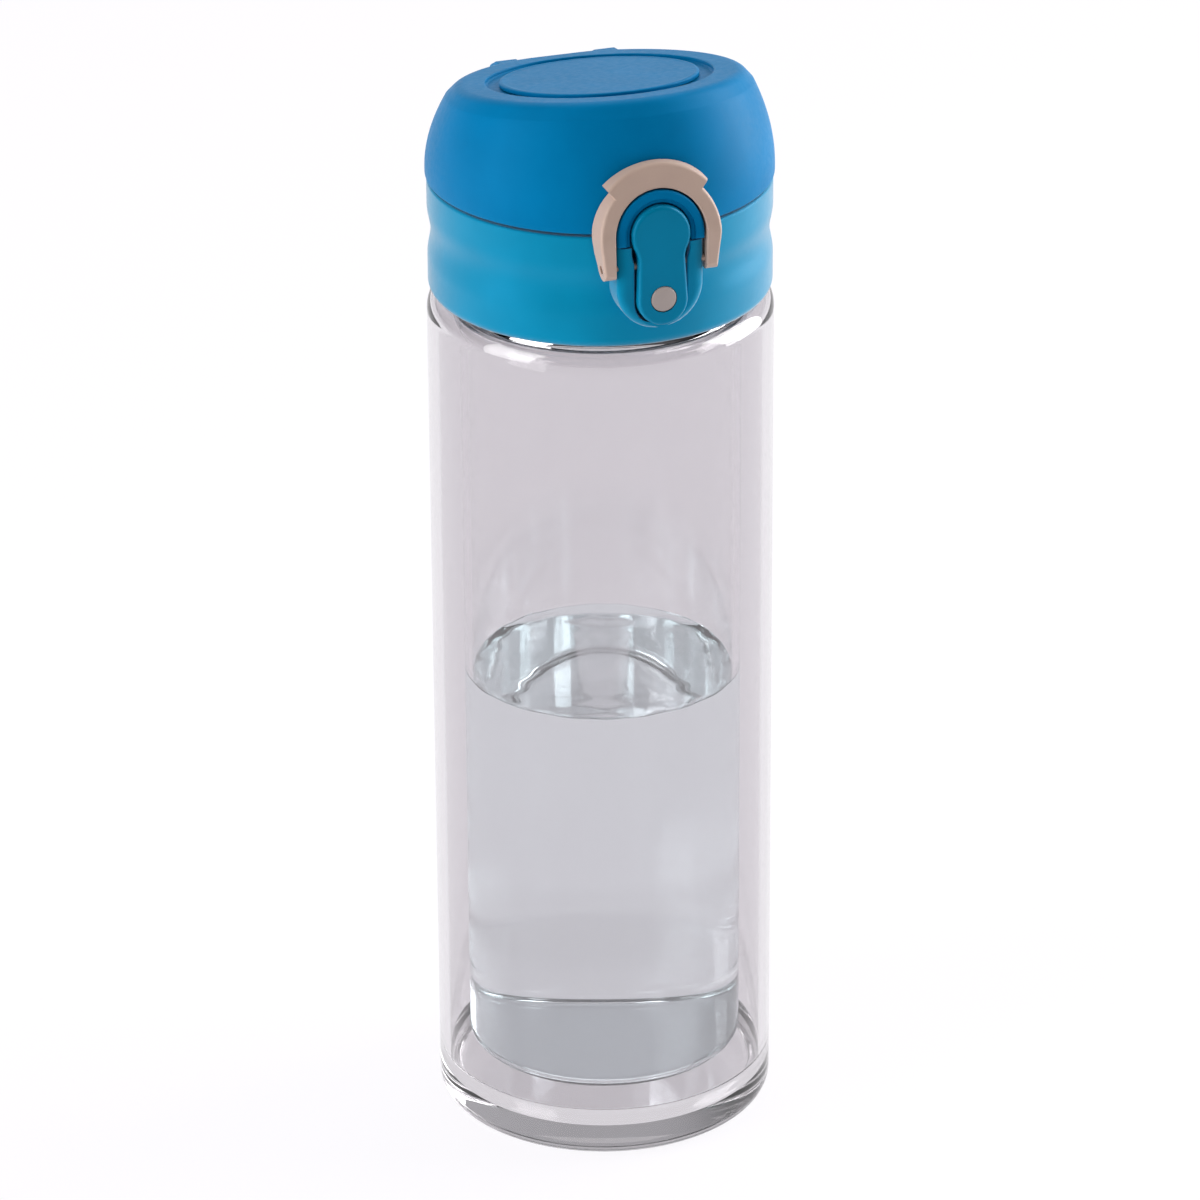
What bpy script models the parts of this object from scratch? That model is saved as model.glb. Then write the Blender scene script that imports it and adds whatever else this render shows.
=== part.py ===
"""Double-wall clear drinking bottle with a screw collar and a push-button flip lid.

Frame: the origin is the centre of the flat base, +Z is up, the latch faces -Y and
the lid's hinge is at +Y. Dimensions below are in millimetres; MM turns them to metres.
"""

from math import atan2, ceil, cos, degrees, pi, radians, sin

import bmesh
import bpy

MM = 0.001
GAP = 0.3            # clearance between neighbouring solids
FACETS = 36          # sides of a full turn on the large round pieces
SMALL_FACETS = 24    # the same on the spout and the pieces that seal it
PIN_FACETS = 16      # the same on pins and bores
THROUGH = 40.0       # length of a cutter that passes right through a piece
PIN_PLAY = 0.2       # radial play of the button and the ring on their pin

# bottle body
BODY_R = 34.0
SHELL_WALL = 2.1
BASE_ROUND = 3.5
SHOULDER_TOP = 177.5
SHOULDER_ROUND = 4.0
PLUG_R = 29.2
PLUG_TOP = 5.8
PLUG_SEAT_TOP = 7.0
PLUG_SEAT_CHAMFER_TOP = 10.6
VESSEL_R = 27.7
VESSEL_WALL = 1.5
VESSEL_UNDERSIDE = 12.3
VESSEL_CORNER = 3.2
VESSEL_SHOULDER_LOW = 171.0
VESSEL_SHOULDER_TOP = 174.9
NECK_R = 25.0
NECK_BORE_R = 22.8
NECK_RIM = 189.0

# screw thread between the neck and the inner cap
PITCH = 4.0
THREAD_TURNS = 1.25
THREAD_DEPTH = 1.1
THREAD_ROOT_HALF = 0.8
THREAD_CREST_HALF = 0.4
THREAD_SINK = 0.5
NECK_THREAD_START = 181.4
CAP_THREAD_LAG = 1.7
CAP_THREAD_R = 27.2

# inner cap, mouthpiece and their seals
SEAL_TOP = 190.7
CAP_DECK_LOW = 191.0
CAP_DECK_TOP = 193.0
CAP_SKIRT_R = 29.2
CAP_SKIRT_LOW = 179.4
CAP_FLANGE_R = 31.2
GASKET_TOP = 194.3
SPOUT_R = 9.0
SPOUT_BORE_R = 7.0
SPOUT_TOP = 209.0
SPOUT_FLANGE_R = 13.5
SPOUT_FLANGE_LOW = 194.6
SPOUT_FLANGE_TOP = 195.8
VENT_Y = 15.0
VENT_R = 2.5
VENT_BORE_R = 1.5
VENT_TOP = 202.0

# collar
COLLAR_LOW = 178.0
COLLAR_TOP = 201.0
COLLAR_R = 33.7
COLLAR_BORE_R = 31.6
COLLAR_ROUND = 1.8
WAIST_LOW = 184.7
WAIST_TOP = 195.5
WAIST_DEPTH = 0.7
DECK_LOW = 196.1
DECK_TOP = 197.7

# flip lid, turned upright and then tilted towards the latch
LID_LOW = 201.6
LID_R = 34.0
LID_WALL = 2.0
LID_SIDE_START = 203.0
LID_SIDE_RATE = 0.0248
LID_SIDE_POWER = 1.87
LID_SIDE_TOP = 219.6
LID_TOP = 221.0
LID_TILT = 0.19
DISC_R = 19.3
DISC_RECESS_R = 22.0
DISC_RECESS_FLOOR = 220.0
LINER_R = 31.4
LINER_POCKET_R = 12.8
LINER_WALL = 1.4
LINER_LOW = 203.2
LINER_TOP = 213.6

# rear hinge of the lid
HINGE_Y = 34.6
HINGE_Z = 205.5
HINGE_PIN_R = 1.0
KNUCKLE_R = 3.2
KNUCKLE_HALF = 7.6
EAR_R = 3.3
EAR_OUTER_X = 12.4
HINGE_NOTCH_Y = 26.6
SPRING_SLOT_HALF = 3.7
KNUCKLE_FOOT_Y = 32.4
KNUCKLE_REACH = 2.5
NOTCH_WALL_SIDE = 2.2
NOTCH_WALL_TOP = 214.4
LINER_CLEARANCE = 0.4
LINER_EAR_Y = 29.0

# latch at the front: housing, button, lock ring and the pin that carries both
LATCH_PIN_Y = -35.9
LATCH_PIN_Z = 196.0
LATCH_PIN_R = 0.7
LATCH_PIN_HALF = 10.5
HOUSING_HALF = 8.6
HOUSING_TOP = 200.2
HOUSING_LOW = 183.0
HOUSING_FRONT = -37.3
HOUSING_FLOOR = -33.2
SLOT_HALF = 5.25
SLOT_TOP_HALF = 5.75
SLOT_FLARE_LOW = 196.6
SLOT_FLARE_TOP = 198.6
SLOT_RISE = 0.7
BUTTON_TOP_R = 5.8
BUTTON_TOP_Z = 202.2
BUTTON_WAIST_HALF = 4.7
BUTTON_WAIST_Z = 196.2
BUTTON_LOBE_R = 4.95
BUTTON_LOBE_Z = 189.4
BUTTON_THICK = 2.4
BUTTON_FACE_Y = -38.05
BUTTON_FACE_SLOPE = 0.075
BOSS_R = 1.5
DOT_R = 2.5
DOT_Z = 189.7
CATCH_Z = 205.2
CATCH_HALF = 2.7
CATCH_HOOK_THICK = 1.8
CATCH_SLOT_LOW = 203.9
CATCH_SLOT_TOP = 206.6
CATCH_HOOK_BACK = -32.9
CATCH_SLOT_BACK = -32.4
POCKET_FLOOR = -33.8
ARCH_R = 8.75
ARCH_Z = 201.9
ARCH_LOW = 200.5
ARCH_FACE_Y = -37.6
ARCH_FACE_SLOPE = 0.13
ARCH_BACK = -31.4
RING_Z = 201.9
RING_BORE_R = 9.1
RING_R = 12.1
RING_CROWN_R = 13.9
RING_CROWN_ANGLE = 44.0
RING_SIDE_END = -12.0
RING_FRONT = -38.0
RING_FRONT_TOP = -34.6
RING_LEAN_Z = 202.0
RING_TOP_Z = 216.0
RING_REAR = -29.3
RING_HEEL = -32.4
RING_LEG_R = 2.2
RING_LEG_OUTER_X = 11.0
RING_LEG_INNER_X = 8.95
RING_CLEARANCE = 0.4
RING_BLANK_FRONT = -45.0
RING_BLANK_BACK = -28.0

# soft stoppers under the lid
SPOUT_PLUG_FLANGE_R = 10.8
SPOUT_PLUG_NUB_R = 6.6
SPOUT_PLUG_LOW = 206.4
VENT_PLUG_FLANGE_R = 2.2
VENT_PLUG_NUB_R = 1.1
VENT_PLUG_LOW = 200.8


def clear_scene():
    """Remove every object that the scene starts with."""
    for thing in list(bpy.data.objects):
        bpy.data.objects.remove(thing, do_unlink=True)


def collection(name):
    made = bpy.data.collections.new(name)
    bpy.context.scene.collection.children.link(made)
    return made


def material(name, colour, roughness, metallic=0.0, transmission=0.0):
    """A Principled material with one colour."""
    made = bpy.data.materials.new(name)
    made.use_nodes = True
    shader = made.node_tree.nodes["Principled BSDF"]
    shader.inputs["Base Color"].default_value = (*colour, 1.0)
    shader.inputs["Roughness"].default_value = roughness
    shader.inputs["Metallic"].default_value = metallic
    shader.inputs["Transmission Weight"].default_value = transmission
    return made


clear_scene()
PARTS = collection("flip_lid_bottle")
CUTTERS = collection("cutters")
CLEAR = material("clear_plastic", (0.93, 0.94, 0.95), 0.03, transmission=1.0)
LID_BLUE = material("lid_blue", (0.0, 0.16, 0.42), 0.35)
COLLAR_BLUE = material("collar_blue", (0.07, 0.37, 0.60), 0.35)
BUTTON_TEAL = material("button_teal", (0.01, 0.22, 0.36), 0.35)
RING_BEIGE = material("ring_beige", (0.62, 0.50, 0.42), 0.45)
WHITE = material("cap_white", (0.80, 0.82, 0.84), 0.40)
SILICONE = material("seal_silicone", (0.72, 0.74, 0.76), 0.60)
STEEL = material("spring_steel", (0.55, 0.55, 0.56), 0.25, metallic=1.0)


def add(name, mesh, finish=None):
    """Put a mesh in the scene: as a part if it has a finish, else as a cutter."""
    made = bpy.data.objects.new(name, mesh)
    if finish:
        mesh.materials.append(finish)
        PARTS.objects.link(made)
    else:
        made.display_type = "WIRE"
        made.hide_render = True
        CUTTERS.objects.link(made)
    return made


def from_bmesh(name, shape, finish=None):
    bmesh.ops.recalc_face_normals(shape, faces=shape.faces)
    mesh = bpy.data.meshes.new(name)
    shape.to_mesh(mesh)
    shape.free()
    return add(name, mesh, finish)


def arc(centre_r, centre_z, radius, start, end, steps):
    """Points on a circle arc, angles in degrees, both ends included."""
    turn = [radians(start + (end - start) * i / steps) for i in range(steps + 1)]
    return [(centre_r + radius * cos(a), centre_z + radius * sin(a)) for a in turn]


def turned(name, profile, finish=None, closed=True, facets=FACETS, centre_y=0.0):
    """Turn a profile of (radius, height) about a vertical axis with a Screw modifier.

    The outer side of the profile runs downwards. A closed profile makes a ring;
    an open one starts and ends on the axis.
    """
    mesh = bpy.data.meshes.new(name)
    points = [(r * MM, 0.0, z * MM) for r, z in profile]
    edges = [(i, i + 1) for i in range(len(points) - 1)]
    if closed:
        edges.append((len(points) - 1, 0))
    mesh.from_pydata(points, edges, [])
    made = add(name, mesh, finish)
    made.location.y = centre_y * MM
    screw = made.modifiers.new("turn", "SCREW")
    screw.axis = "Z"
    screw.angle = 2 * pi
    screw.steps = facets
    screw.render_steps = facets
    screw.use_merge_vertices = True
    screw.merge_threshold = 0.00002
    screw.use_smooth_shade = True
    return made


def freeze(thing):
    """Replace an object's modifiers by the mesh they give."""
    graph = bpy.context.evaluated_depsgraph_get()
    mesh = bpy.data.meshes.new_from_object(thing.evaluated_get(graph))
    thing.modifiers.clear()
    thing.data = mesh
    return thing


def combine(target, operation, *tools):
    """Join or cut an object with tools from the cutters' collection."""
    for tool in tools:
        step = target.modifiers.new(operation.lower() + "_" + tool.name, "BOOLEAN")
        step.operation = operation
        step.solver = "EXACT"
        step.object = tool
    return target


def box(name, x, y, z):
    """A box cutter from three (low, high) pairs."""
    shape = bmesh.new()
    bmesh.ops.create_cube(shape, size=1.0)
    for vert in shape.verts:
        for axis, (low, high) in enumerate((x, y, z)):
            vert.co[axis] = ((low + high) / 2 + (high - low) * vert.co[axis]) * MM
    return from_bmesh(name, shape)


def rod(name, radius, along, length, centre, finish=None, facets=PIN_FACETS):
    """A round bar along X, Y or Z about its centre."""
    spin = {"X": (0, pi / 2, 0), "Y": (pi / 2, 0, 0), "Z": (0, 0, 0)}[along]
    bpy.ops.mesh.primitive_cylinder_add(
        vertices=facets,
        radius=radius * MM,
        depth=length * MM,
        location=[c * MM for c in centre],
        rotation=spin,
    )
    made = bpy.context.object
    made.name = name
    for home in list(made.users_collection):
        home.objects.unlink(made)
    if finish:
        made.data.materials.append(finish)
        PARTS.objects.link(made)
    else:
        made.display_type = "WIRE"
        made.hide_render = True
        CUTTERS.objects.link(made)
    return made


def slab(name, outline, front, back, finish=None):
    """Extrude an outline of (x, z) along Y between two surfaces y = front(z), back(z)."""
    shape = bmesh.new()
    near = [shape.verts.new((x * MM, front(z) * MM, z * MM)) for x, z in outline]
    far = [shape.verts.new((x * MM, back(z) * MM, z * MM)) for x, z in outline]
    shape.faces.new(near)
    shape.faces.new(list(reversed(far)))
    for i in range(len(outline)):
        j = (i + 1) % len(outline)
        shape.faces.new((near[j], near[i], far[i], far[j]))
    return from_bmesh(name, shape, finish)


def side_slab(name, outline, low_x, high_x):
    """Extrude an outline of (y, z) along X as a cutter."""
    shape = bmesh.new()
    near = [shape.verts.new((low_x * MM, y * MM, z * MM)) for y, z in outline]
    far = [shape.verts.new((high_x * MM, y * MM, z * MM)) for y, z in outline]
    shape.faces.new(near)
    shape.faces.new(list(reversed(far)))
    for i in range(len(outline)):
        j = (i + 1) % len(outline)
        shape.faces.new((near[j], near[i], far[i], far[j]))
    return from_bmesh(name, shape)


def thread(name, root_r, crest_r, start_z):
    """A helical ridge with tapered ends, right-handed, rising with the angle."""
    steps = ceil(THREAD_TURNS * FACETS)
    taper = FACETS // 8
    outward = 1 if crest_r > root_r else -1
    foot_r = root_r - outward * THREAD_SINK
    shape = bmesh.new()
    rings = []
    for i in range(steps + 1):
        angle = 2 * pi * i / FACETS
        full = min(1.0, i / taper, (steps - i) / taper)
        tip_r = foot_r + 0.3 * outward + (crest_r - foot_r - 0.3 * outward) * full
        middle = start_z + PITCH * i / FACETS
        section = (
            (foot_r, middle - THREAD_ROOT_HALF),
            (tip_r, middle - THREAD_CREST_HALF),
            (tip_r, middle + THREAD_CREST_HALF),
            (foot_r, middle + THREAD_ROOT_HALF),
        )
        rings.append([
            shape.verts.new((r * cos(angle) * MM, r * sin(angle) * MM, z * MM))
            for r, z in section
        ])
    for low, high in zip(rings, rings[1:]):
        for i in range(4):
            j = (i + 1) % 4
            shape.faces.new((low[i], low[j], high[j], high[i]))
    shape.faces.new(rings[0])
    shape.faces.new(list(reversed(rings[-1])))
    return from_bmesh(name, shape)


def wire(name, points, radius, finish):
    """A spring wire through points, made from a curve and closed at its ends."""
    curve = bpy.data.curves.new(name + "_path", "CURVE")
    curve.dimensions = "3D"
    curve.bevel_depth = radius * MM
    curve.bevel_resolution = 1
    curve.use_fill_caps = True
    line = curve.splines.new("POLY")
    line.points.add(len(points) - 1)
    for target, point in zip(line.points, points):
        target.co = (*[c * MM for c in point], 1.0)
    guide = bpy.data.objects.new(name + "_path", curve)
    CUTTERS.objects.link(guide)
    graph = bpy.context.evaluated_depsgraph_get()
    graph.update()
    mesh = bpy.data.meshes.new_from_object(guide.evaluated_get(graph))
    bpy.data.objects.remove(guide, do_unlink=True)
    shape = bmesh.new()
    shape.from_mesh(mesh)
    bmesh.ops.remove_doubles(shape, verts=shape.verts, dist=0.00001)
    return from_bmesh(name, shape, finish)


def flush_at(z):
    return lambda _height, value=z: value


# ---------------------------------------------------------------- bottle body

def outer_shell():
    """Clear tube with a rounded shoulder, open below for the base plug."""
    inner_r = BODY_R - SHELL_WALL
    seat_r = PLUG_R + GAP
    neck_hole_r = NECK_R + GAP
    shoulder = (BODY_R - SHOULDER_ROUND, SHOULDER_TOP - SHOULDER_ROUND)
    profile = [(neck_hole_r, SHOULDER_TOP)]
    profile += arc(*shoulder, SHOULDER_ROUND, 90, 0, 4)
    profile += arc(BODY_R - BASE_ROUND, BASE_ROUND, BASE_ROUND, 0, -90, 4)
    profile += [(seat_r, 0.0), (seat_r, PLUG_SEAT_TOP), (inner_r, PLUG_SEAT_CHAMFER_TOP)]
    profile += arc(*shoulder, SHOULDER_ROUND - SHELL_WALL, 0, 90, 2)
    profile += [(neck_hole_r, SHOULDER_TOP - SHELL_WALL)]
    return turned("outer_shell", profile, CLEAR)


def base_plug():
    """Thick clear disc welded into the bottom of the shell."""
    edge = 0.5
    profile = [(0.0, PLUG_TOP), (PLUG_R - edge, PLUG_TOP), (PLUG_R, PLUG_TOP - edge)]
    profile += [(PLUG_R, 0.0), (0.0, 0.0)]
    return turned("base_plug", profile, CLEAR, closed=False)


def inner_vessel():
    """Inner cup that holds the drink, with the threaded neck."""
    bore_r = VESSEL_R - VESSEL_WALL
    floor = VESSEL_UNDERSIDE + VESSEL_WALL
    corner = VESSEL_CORNER - VESSEL_WALL
    rim_edge = 0.5
    profile = [(0.0, floor)]
    profile += arc(bore_r - corner, floor + corner, corner, -90, 0, 2)
    profile += [(bore_r, VESSEL_SHOULDER_LOW - 0.6), (bore_r - 0.9, VESSEL_SHOULDER_LOW + 1.0)]
    profile += [(NECK_BORE_R, VESSEL_SHOULDER_TOP - 0.8)]
    profile += [(NECK_BORE_R, NECK_RIM - rim_edge), (NECK_BORE_R + rim_edge, NECK_RIM)]
    profile += [(NECK_R - rim_edge, NECK_RIM), (NECK_R, NECK_RIM - rim_edge)]
    profile += [(NECK_R, VESSEL_SHOULDER_TOP), (VESSEL_R - 0.7, VESSEL_SHOULDER_LOW + 1.6)]
    profile += [(VESSEL_R, VESSEL_SHOULDER_LOW)]
    profile += arc(VESSEL_R - VESSEL_CORNER, floor - VESSEL_WALL + VESSEL_CORNER,
                   VESSEL_CORNER, 0, -90, 3)
    profile += [(0.0, VESSEL_UNDERSIDE)]
    vessel = turned("inner_vessel", profile, CLEAR, closed=False)
    ridge = thread("neck_thread", NECK_R, NECK_R + THREAD_DEPTH, NECK_THREAD_START)
    return combine(vessel, "UNION", ridge)


# ------------------------------------------------- inner cap, spout and seals

def ring(name, inner_r, outer_r, low, high, edge, finish, facets=FACETS):
    """A flat ring with broken outer and inner edges."""
    profile = [(outer_r - edge, high), (outer_r, high - edge)]
    profile += [(outer_r, low + edge), (outer_r - edge, low)]
    profile += [(inner_r + edge, low), (inner_r, low + edge)]
    profile += [(inner_r, high - edge), (inner_r + edge, high)]
    return turned(name, profile, finish, facets=facets)


def inner_cap():
    """Threaded insert of the collar, with its deck and vent tube."""
    spout_hole_r = SPOUT_BORE_R + 0.4
    profile = [(CAP_FLANGE_R, CAP_DECK_TOP), (CAP_FLANGE_R, CAP_DECK_LOW + 0.4)]
    profile += [(CAP_SKIRT_R, CAP_DECK_LOW - 0.8), (CAP_SKIRT_R, CAP_SKIRT_LOW)]
    profile += [(CAP_THREAD_R, CAP_SKIRT_LOW), (CAP_THREAD_R, CAP_DECK_LOW)]
    profile += [(spout_hole_r, CAP_DECK_LOW), (spout_hole_r, CAP_DECK_TOP)]
    cap = turned("inner_cap", profile, WHITE)
    ridge = thread("cap_thread", CAP_THREAD_R, NECK_R + 0.4,
                   NECK_THREAD_START - CAP_THREAD_LAG)
    tube_low = CAP_DECK_LOW + 0.5
    tube_middle = (0, VENT_Y, (tube_low + VENT_TOP) / 2)
    tube = rod("vent_tube", VENT_R, "Z", VENT_TOP - tube_low, tube_middle)
    bore = rod("vent_bore", VENT_BORE_R, "Z", 20.0, (0, VENT_Y, CAP_DECK_TOP))
    combine(cap, "UNION", ridge, tube)
    return combine(cap, "DIFFERENCE", bore)


def mouthpiece():
    """Drinking spout with the flange that clamps it between the two decks."""
    lip = 0.6
    profile = [(SPOUT_BORE_R + lip, SPOUT_TOP), (SPOUT_R - lip, SPOUT_TOP)]
    profile += [(SPOUT_R, SPOUT_TOP - lip), (SPOUT_R, SPOUT_FLANGE_TOP)]
    profile += [(SPOUT_FLANGE_R, SPOUT_FLANGE_TOP), (SPOUT_FLANGE_R, SPOUT_FLANGE_LOW)]
    profile += [(SPOUT_BORE_R, SPOUT_FLANGE_LOW), (SPOUT_BORE_R, SPOUT_TOP - lip)]
    spout = turned("mouthpiece", profile, COLLAR_BLUE, facets=SMALL_FACETS)
    pass_hole = rod("flange_vent_cut", VENT_R + GAP, "Z", 10.0,
                    (0, VENT_Y, SPOUT_FLANGE_TOP))
    return combine(spout, "DIFFERENCE", pass_hole)


# ----------------------------------------------------------------- the collar

def collar_profile():
    """Outer side with a shallow waist, the deck, and the raised rim."""
    edge = 0.5
    waist_steps = 6
    profile = [(COLLAR_R - edge, COLLAR_TOP), (COLLAR_R, COLLAR_TOP - edge)]
    for i in range(waist_steps + 1):
        share = i / waist_steps
        dip = WAIST_DEPTH * (1 - cos(2 * pi * share)) / 2
        profile.append((COLLAR_R - dip, WAIST_TOP + (WAIST_LOW - WAIST_TOP) * share))
    profile += arc(COLLAR_R - COLLAR_ROUND, COLLAR_LOW + COLLAR_ROUND,
                   COLLAR_ROUND, 0, -90, 3)
    profile += [(COLLAR_BORE_R, COLLAR_LOW), (COLLAR_BORE_R, DECK_LOW)]
    profile += [(SPOUT_R + GAP, DECK_LOW), (SPOUT_R + GAP, DECK_TOP)]
    profile += [(COLLAR_BORE_R + GAP, DECK_TOP), (COLLAR_BORE_R + GAP, COLLAR_TOP)]
    return profile


def lobe(half, top, bottom, steps=10):
    """Outline of (x, z): flat top, straight sides and a half-round bottom."""
    return [(half, top)] + arc(0.0, bottom + half, half, 0, -180, steps) + [(-half, top)]


def slot_outline():
    """Front view (x, z) of the button's slot, a little wider at its open top."""
    sides = [(SLOT_TOP_HALF, COLLAR_TOP + 5.0), (SLOT_TOP_HALF, SLOT_FLARE_TOP)]
    bottom = arc(0.0, HOUSING_LOW + SLOT_RISE + SLOT_HALF, SLOT_HALF, 0, -180, 10)
    return (sides + [(SLOT_HALF, SLOT_FLARE_LOW)] + bottom + [(-SLOT_HALF, SLOT_FLARE_LOW)]
            + [(-x, z) for x, z in reversed(sides)])


def hinge_outline():
    """Side view (y, z) of the collar's knuckle and the bracket that carries it."""
    barrel = arc(HINGE_Y, HINGE_Z, KNUCKLE_R, -30, 180, 10)
    foot_z = COLLAR_TOP - 3.0
    foot = [(KNUCKLE_FOOT_Y, foot_z), (KNUCKLE_FOOT_Y + KNUCKLE_REACH, foot_z)]
    return foot + barrel + [(HINGE_Y - KNUCKLE_R, COLLAR_TOP + 0.2)]


def collar():
    """Screw collar with the latch housing in front and the hinge knuckle behind."""
    made = turned("collar", collar_profile(), COLLAR_BLUE)
    housing = slab("housing_block", lobe(HOUSING_HALF, HOUSING_TOP, HOUSING_LOW),
                   flush_at(HOUSING_FRONT), flush_at(-COLLAR_BORE_R - GAP))
    knuckle = side_slab("knuckle_block", hinge_outline(), -KNUCKLE_HALF, KNUCKLE_HALF)
    slot = slab("button_slot", slot_outline(), flush_at(HOUSING_FRONT - 5.0),
                flush_at(HOUSING_FLOOR))
    latch_bore = rod("latch_bore", LATCH_PIN_R + GAP, "X", THROUGH,
                     (0, LATCH_PIN_Y, LATCH_PIN_Z))
    hinge_bore = rod("knuckle_bore", HINGE_PIN_R + GAP, "X", THROUGH, (0, HINGE_Y, HINGE_Z))
    spring_slot = box("spring_slot", (-SPRING_SLOT_HALF, SPRING_SLOT_HALF),
                      (HINGE_Y - 6.0, HINGE_Y + 6.0), (HINGE_Z - 3.4, HINGE_Z + 6.0))
    vent_hole = rod("deck_vent_hole", VENT_R + GAP, "Z", 6.0, (0, VENT_Y, DECK_TOP))
    combine(made, "UNION", housing, knuckle)
    return combine(made, "DIFFERENCE", slot, latch_bore, hinge_bore, spring_slot, vent_hole)


# --------------------------------------------------------------- the flip lid

def side_radius(z, grow=0.0):
    """Radius of the lid's side at a height, before it is tilted."""
    rise = max(0.0, z - LID_SIDE_START)
    return LID_R - LID_SIDE_RATE * rise ** LID_SIDE_POWER + grow


def lid_side(low, high, steps, grow=0.0):
    """Points down the lid's side from high to low."""
    heights = [high + (low - high) * i / steps for i in range(steps + 1)]
    return [(side_radius(z, grow), z) for z in heights]


def tilt(thing):
    """Lean the top of the lid towards the latch, leaving its rim level."""
    freeze(thing)
    for vert in thing.data.vertices:
        height = vert.co.z / MM
        share = (height - LID_LOW) / (LID_TOP - LID_LOW)
        vert.co.z += LID_TILT * -(vert.co.y + thing.location.y) * max(0.0, share)
    return thing


def ear_outline():
    """Side view (y, z) of a lid ear: from the hinge barrel up to the lid's top edge."""
    barrel = arc(HINGE_Y, HINGE_Z, EAR_R, -100, 30, 6)
    return barrel + [(31.2, 213.4), (28.0, 214.9), (22.5, 215.9), (22.5, 214.5),
                     (27.0, 211.5), (31.0, 204.0), (31.6, 202.4)]


def arch_front(z):
    """Y of the catch arch's face, which leans back towards its top."""
    return ARCH_FACE_Y + ARCH_FACE_SLOPE * (z - ARCH_LOW)


def lid_shell():
    """Domed lid with the hinge ears, the rear notch and the catch arch."""
    corner = [(25.8, LID_TOP), (27.3, LID_TOP - 0.15), (28.4, LID_TOP - 0.6)]
    inner_top = LID_TOP - 3.0
    profile = [(0.0, DISC_RECESS_FLOOR), (DISC_RECESS_R, DISC_RECESS_FLOOR)]
    profile += [(DISC_RECESS_R, LID_TOP)] + corner
    profile += lid_side(LID_SIDE_START, LID_SIDE_TOP, 6)
    profile += [(LID_R, LID_LOW + 0.5), (LID_R - 0.4, LID_LOW), (LID_R - LID_WALL, LID_LOW)]
    profile += list(reversed(lid_side(LID_SIDE_START, inner_top - 1.0, 4, -LID_WALL)))
    profile += [(25.8, inner_top), (0.0, inner_top)]
    shell = tilt(turned("lid_shell", profile, LID_BLUE, closed=False))
    ears = [
        side_slab(name, ear_outline(), low, high)
        for name, low, high in (
            ("ear_right", KNUCKLE_HALF + GAP, EAR_OUTER_X),
            ("ear_left", -EAR_OUTER_X, -KNUCKLE_HALF - GAP),
        )
    ]
    notch_half = KNUCKLE_HALF + GAP
    wall_half = notch_half + NOTCH_WALL_SIDE
    back_wall = box("notch_wall", (-wall_half, wall_half),
                    (HINGE_NOTCH_Y - LID_WALL, HINGE_NOTCH_Y),
                    (LID_LOW + 0.5, NOTCH_WALL_TOP))
    notch = box("hinge_notch", (-notch_half, notch_half), (HINGE_NOTCH_Y, 45.0),
                (LID_LOW - 5.0, LID_TOP + 5.0))
    hinge_bore = rod("ear_bore", HINGE_PIN_R + GAP, "X", THROUGH, (0, HINGE_Y, HINGE_Z))
    leg_angle = degrees(atan2(LID_LOW - ARCH_Z, ARCH_R))
    arch_outline = arc(0.0, ARCH_Z, ARCH_R, leg_angle, 180 - leg_angle, 16)
    arch = slab("catch_arch", arch_outline, arch_front, flush_at(ARCH_BACK))
    leg_top = LID_LOW + 0.6
    leg_outline = [(-ARCH_R, ARCH_LOW), (ARCH_R, ARCH_LOW), (ARCH_R, leg_top),
                   (-ARCH_R, leg_top)]
    legs = slab("arch_legs", leg_outline, arch_front, flush_at(-COLLAR_R - GAP))
    pocket_low = ARCH_LOW - 2.0
    pocket_r = BUTTON_TOP_R + GAP
    pocket_outline = arc(0.0, BUTTON_TOP_Z, pocket_r, 0, 180, 18)
    pocket_outline += [(-pocket_r, pocket_low), (pocket_r, pocket_low)]
    pocket = slab("button_pocket", pocket_outline, flush_at(ARCH_FACE_Y - 3.0),
                  flush_at(POCKET_FLOOR))
    catch = box("catch_slot", (-CATCH_HALF - 0.5, CATCH_HALF + 0.5), (-38.0, CATCH_SLOT_BACK),
                (CATCH_SLOT_LOW, CATCH_SLOT_TOP))
    combine(shell, "UNION", back_wall, *ears, arch, legs)
    return combine(shell, "DIFFERENCE", notch, hinge_bore, pocket, catch)


def lid_top_disc():
    """Flat disc that sits in the lid's round recess."""
    low = DISC_RECESS_FLOOR + GAP
    edge = 0.25
    profile = [(0.0, LID_TOP), (DISC_R - edge, LID_TOP), (DISC_R, LID_TOP - edge)]
    profile += [(DISC_R, low), (0.0, low)]
    return tilt(turned("lid_top_disc", profile, LID_BLUE, closed=False))


def lid_liner():
    """Inner cover of the lid, with the pocket that carries the spout plug."""
    pocket_inner = LINER_POCKET_R - LINER_WALL
    flange_top = LINER_LOW + LINER_WALL
    profile = [(0.0, LINER_TOP), (LINER_POCKET_R - 1.0, LINER_TOP)]
    profile += [(LINER_POCKET_R, LINER_TOP - 1.0), (LINER_POCKET_R, flange_top)]
    profile += [(LINER_R, flange_top), (LINER_R, LINER_LOW), (pocket_inner, LINER_LOW)]
    profile += [(pocket_inner, LINER_TOP - LINER_WALL), (0.0, LINER_TOP - LINER_WALL)]
    liner = turned("lid_liner", profile, WHITE, closed=False)
    wall_half = KNUCKLE_HALF + GAP + NOTCH_WALL_SIDE + LINER_CLEARANCE
    wall_y = HINGE_NOTCH_Y - LID_WALL - LINER_CLEARANCE
    ear_half = EAR_OUTER_X + LINER_CLEARANCE
    heights = (LINER_LOW - 3.0, LINER_LOW + 6.0)
    rear = box("liner_notch", (-wall_half, wall_half), (wall_y, THROUGH), heights)
    ears = box("liner_ear_relief", (-ear_half, ear_half), (LINER_EAR_Y, THROUGH), heights)
    return combine(liner, "DIFFERENCE", rear, ears)


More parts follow.
